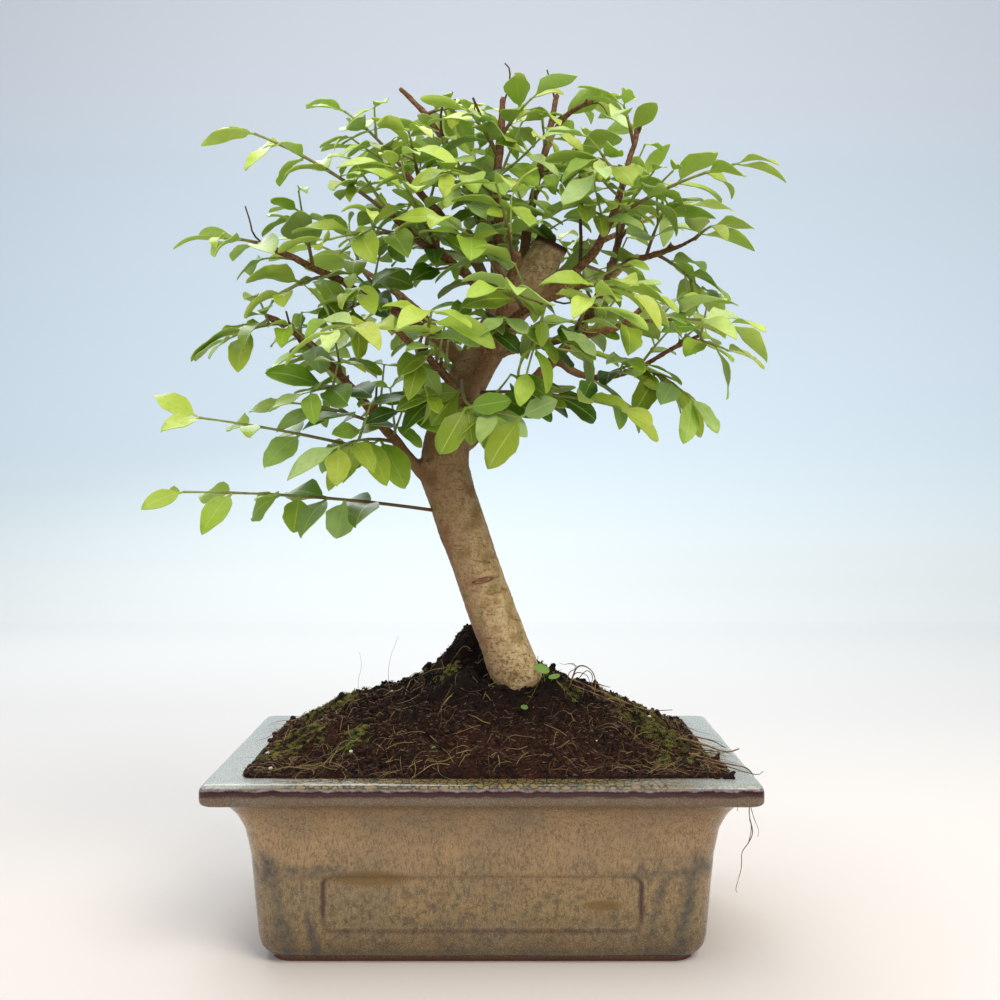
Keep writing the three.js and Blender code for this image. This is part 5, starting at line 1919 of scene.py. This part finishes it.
    def build_twigs(self) -> None:
        """Every twig in one piece, its age kept from its thickness."""
        bm = tubes(self.twigs, 1)
        age = bm.verts.layers.float.new("age")
        tree = finder(point for points, _ in self.twigs for point in points)
        widths = [radius for _, radii in self.twigs for radius in radii]
        for vert in bm.verts:
            vert[age] = eased(0.42, 0.85, widths[tree.find(vert.co)[1]])
        LOG.info("leaves in all: %d", len(self.crowd))
        finished("twigs", bm, TwigBark(), Slot.BARK)


# Studio


@dataclass
class Studio:
    """A pale sweep, soft lights, and the camera at the photograph's viewing angle."""

    camera: tuple = (6.5, -537, 179)
    pitch: float = 1.03
    lens: float = 48
    sensor: float = 36
    wall: float = 1500
    bend: float = 500
    half_width: float = 2600
    front: float = -2200
    level: float = 400
    top: float = 2600
    bend_steps: int = 16

    def build(self) -> None:
        """Sets everything up."""
        self.build_sweep()
        camera = bpy.data.cameras.new("camera")
        camera.lens = self.lens
        camera.sensor_width = self.sensor
        camera.clip_start = 10 * MM
        holder = on_scene("camera", camera)
        holder.location = Vector(self.camera) * MM
        holder.rotation_euler = (radians(90 - self.pitch), 0, 0)
        bpy.context.scene.camera = holder
        world = bpy.data.worlds.new("daylight")
        world.use_nodes = True
        world.node_tree.nodes["Background"].inputs[0].default_value = linear("#e8f0fa")
        world.node_tree.nodes["Background"].inputs[1].default_value = 0.42
        bpy.context.scene.world = world
        bpy.context.scene.view_settings.view_transform = "Standard"
        self.light("key", (650, -900, 1150), (0, 0, 190), 800, 15, "#fff6ea")
        self.light("fill", (-900, -800, 500), (0, 0, 190), 900, 3.5, "#f3f7ff")
        self.light("top", (-100, 100, 1500), (0, 0, 200), 1300, 12, "#ffffff")
        self.light("back", (-300, 1000, 900), (0, 0, 250), 700, 5, "#ffffff")

    def build_sweep(self) -> None:
        """The paper: level underfoot, curved up into a wall behind."""
        foot = self.wall - self.bend
        profile = [(self.front, 0), (-self.level, 0), (self.level, 0), (foot, 0)]
        for step in range(1, self.bend_steps + 1):
            angle = pi / 2 * step / self.bend_steps
            profile.append((foot + self.bend * sin(angle), self.bend * (1 - cos(angle))))
        profile.append((self.wall, self.top))
        bm = bmesh.new()
        sheet(bm, 1, len(profile) - 1, lambda i, j: Vector(((2 * i - 1) * self.half_width, *profile[j])))
        bmesh.ops.scale(bm, vec=(MM, MM, MM), verts=bm.verts)
        mesh = used_up(bm, "sweep")
        mesh.materials.append(StudioPaper().material())
        mesh.shade_smooth()
        on_scene("sweep", mesh)

    @staticmethod
    def light(name: str, place: tuple, aim: tuple, size: float, power: float, colour: str) -> None:
        """A square soft light; its size is in millimetres and its power in watts."""
        lamp = bpy.data.lights.new(name, "AREA")
        lamp.size = size * MM
        lamp.energy = power
        lamp.color = linear(colour)[:3]
        holder = on_scene(name, lamp)
        holder.location = Vector(place) * MM
        holder.rotation_euler = (Vector(aim) - Vector(place)).to_track_quat("-Z", "Y").to_euler()


def main() -> None:
    """Dresses the frame, from the pot up to the last leaf."""
    logging.basicConfig(level=logging.INFO, format="%(message)s")
    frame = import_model()
    pot = Pot()
    pot.build()
    for name, hand in (("left", -1), ("right", 1)):
        DrainNetting().build(pot, name, hand)
    Soil(pot).build()
    wood = Wood()
    wood.build()
    wood.build_dead_twigs()
    Foliage(frame).build()
    Studio().build()


if __name__ == "__main__":
    main()
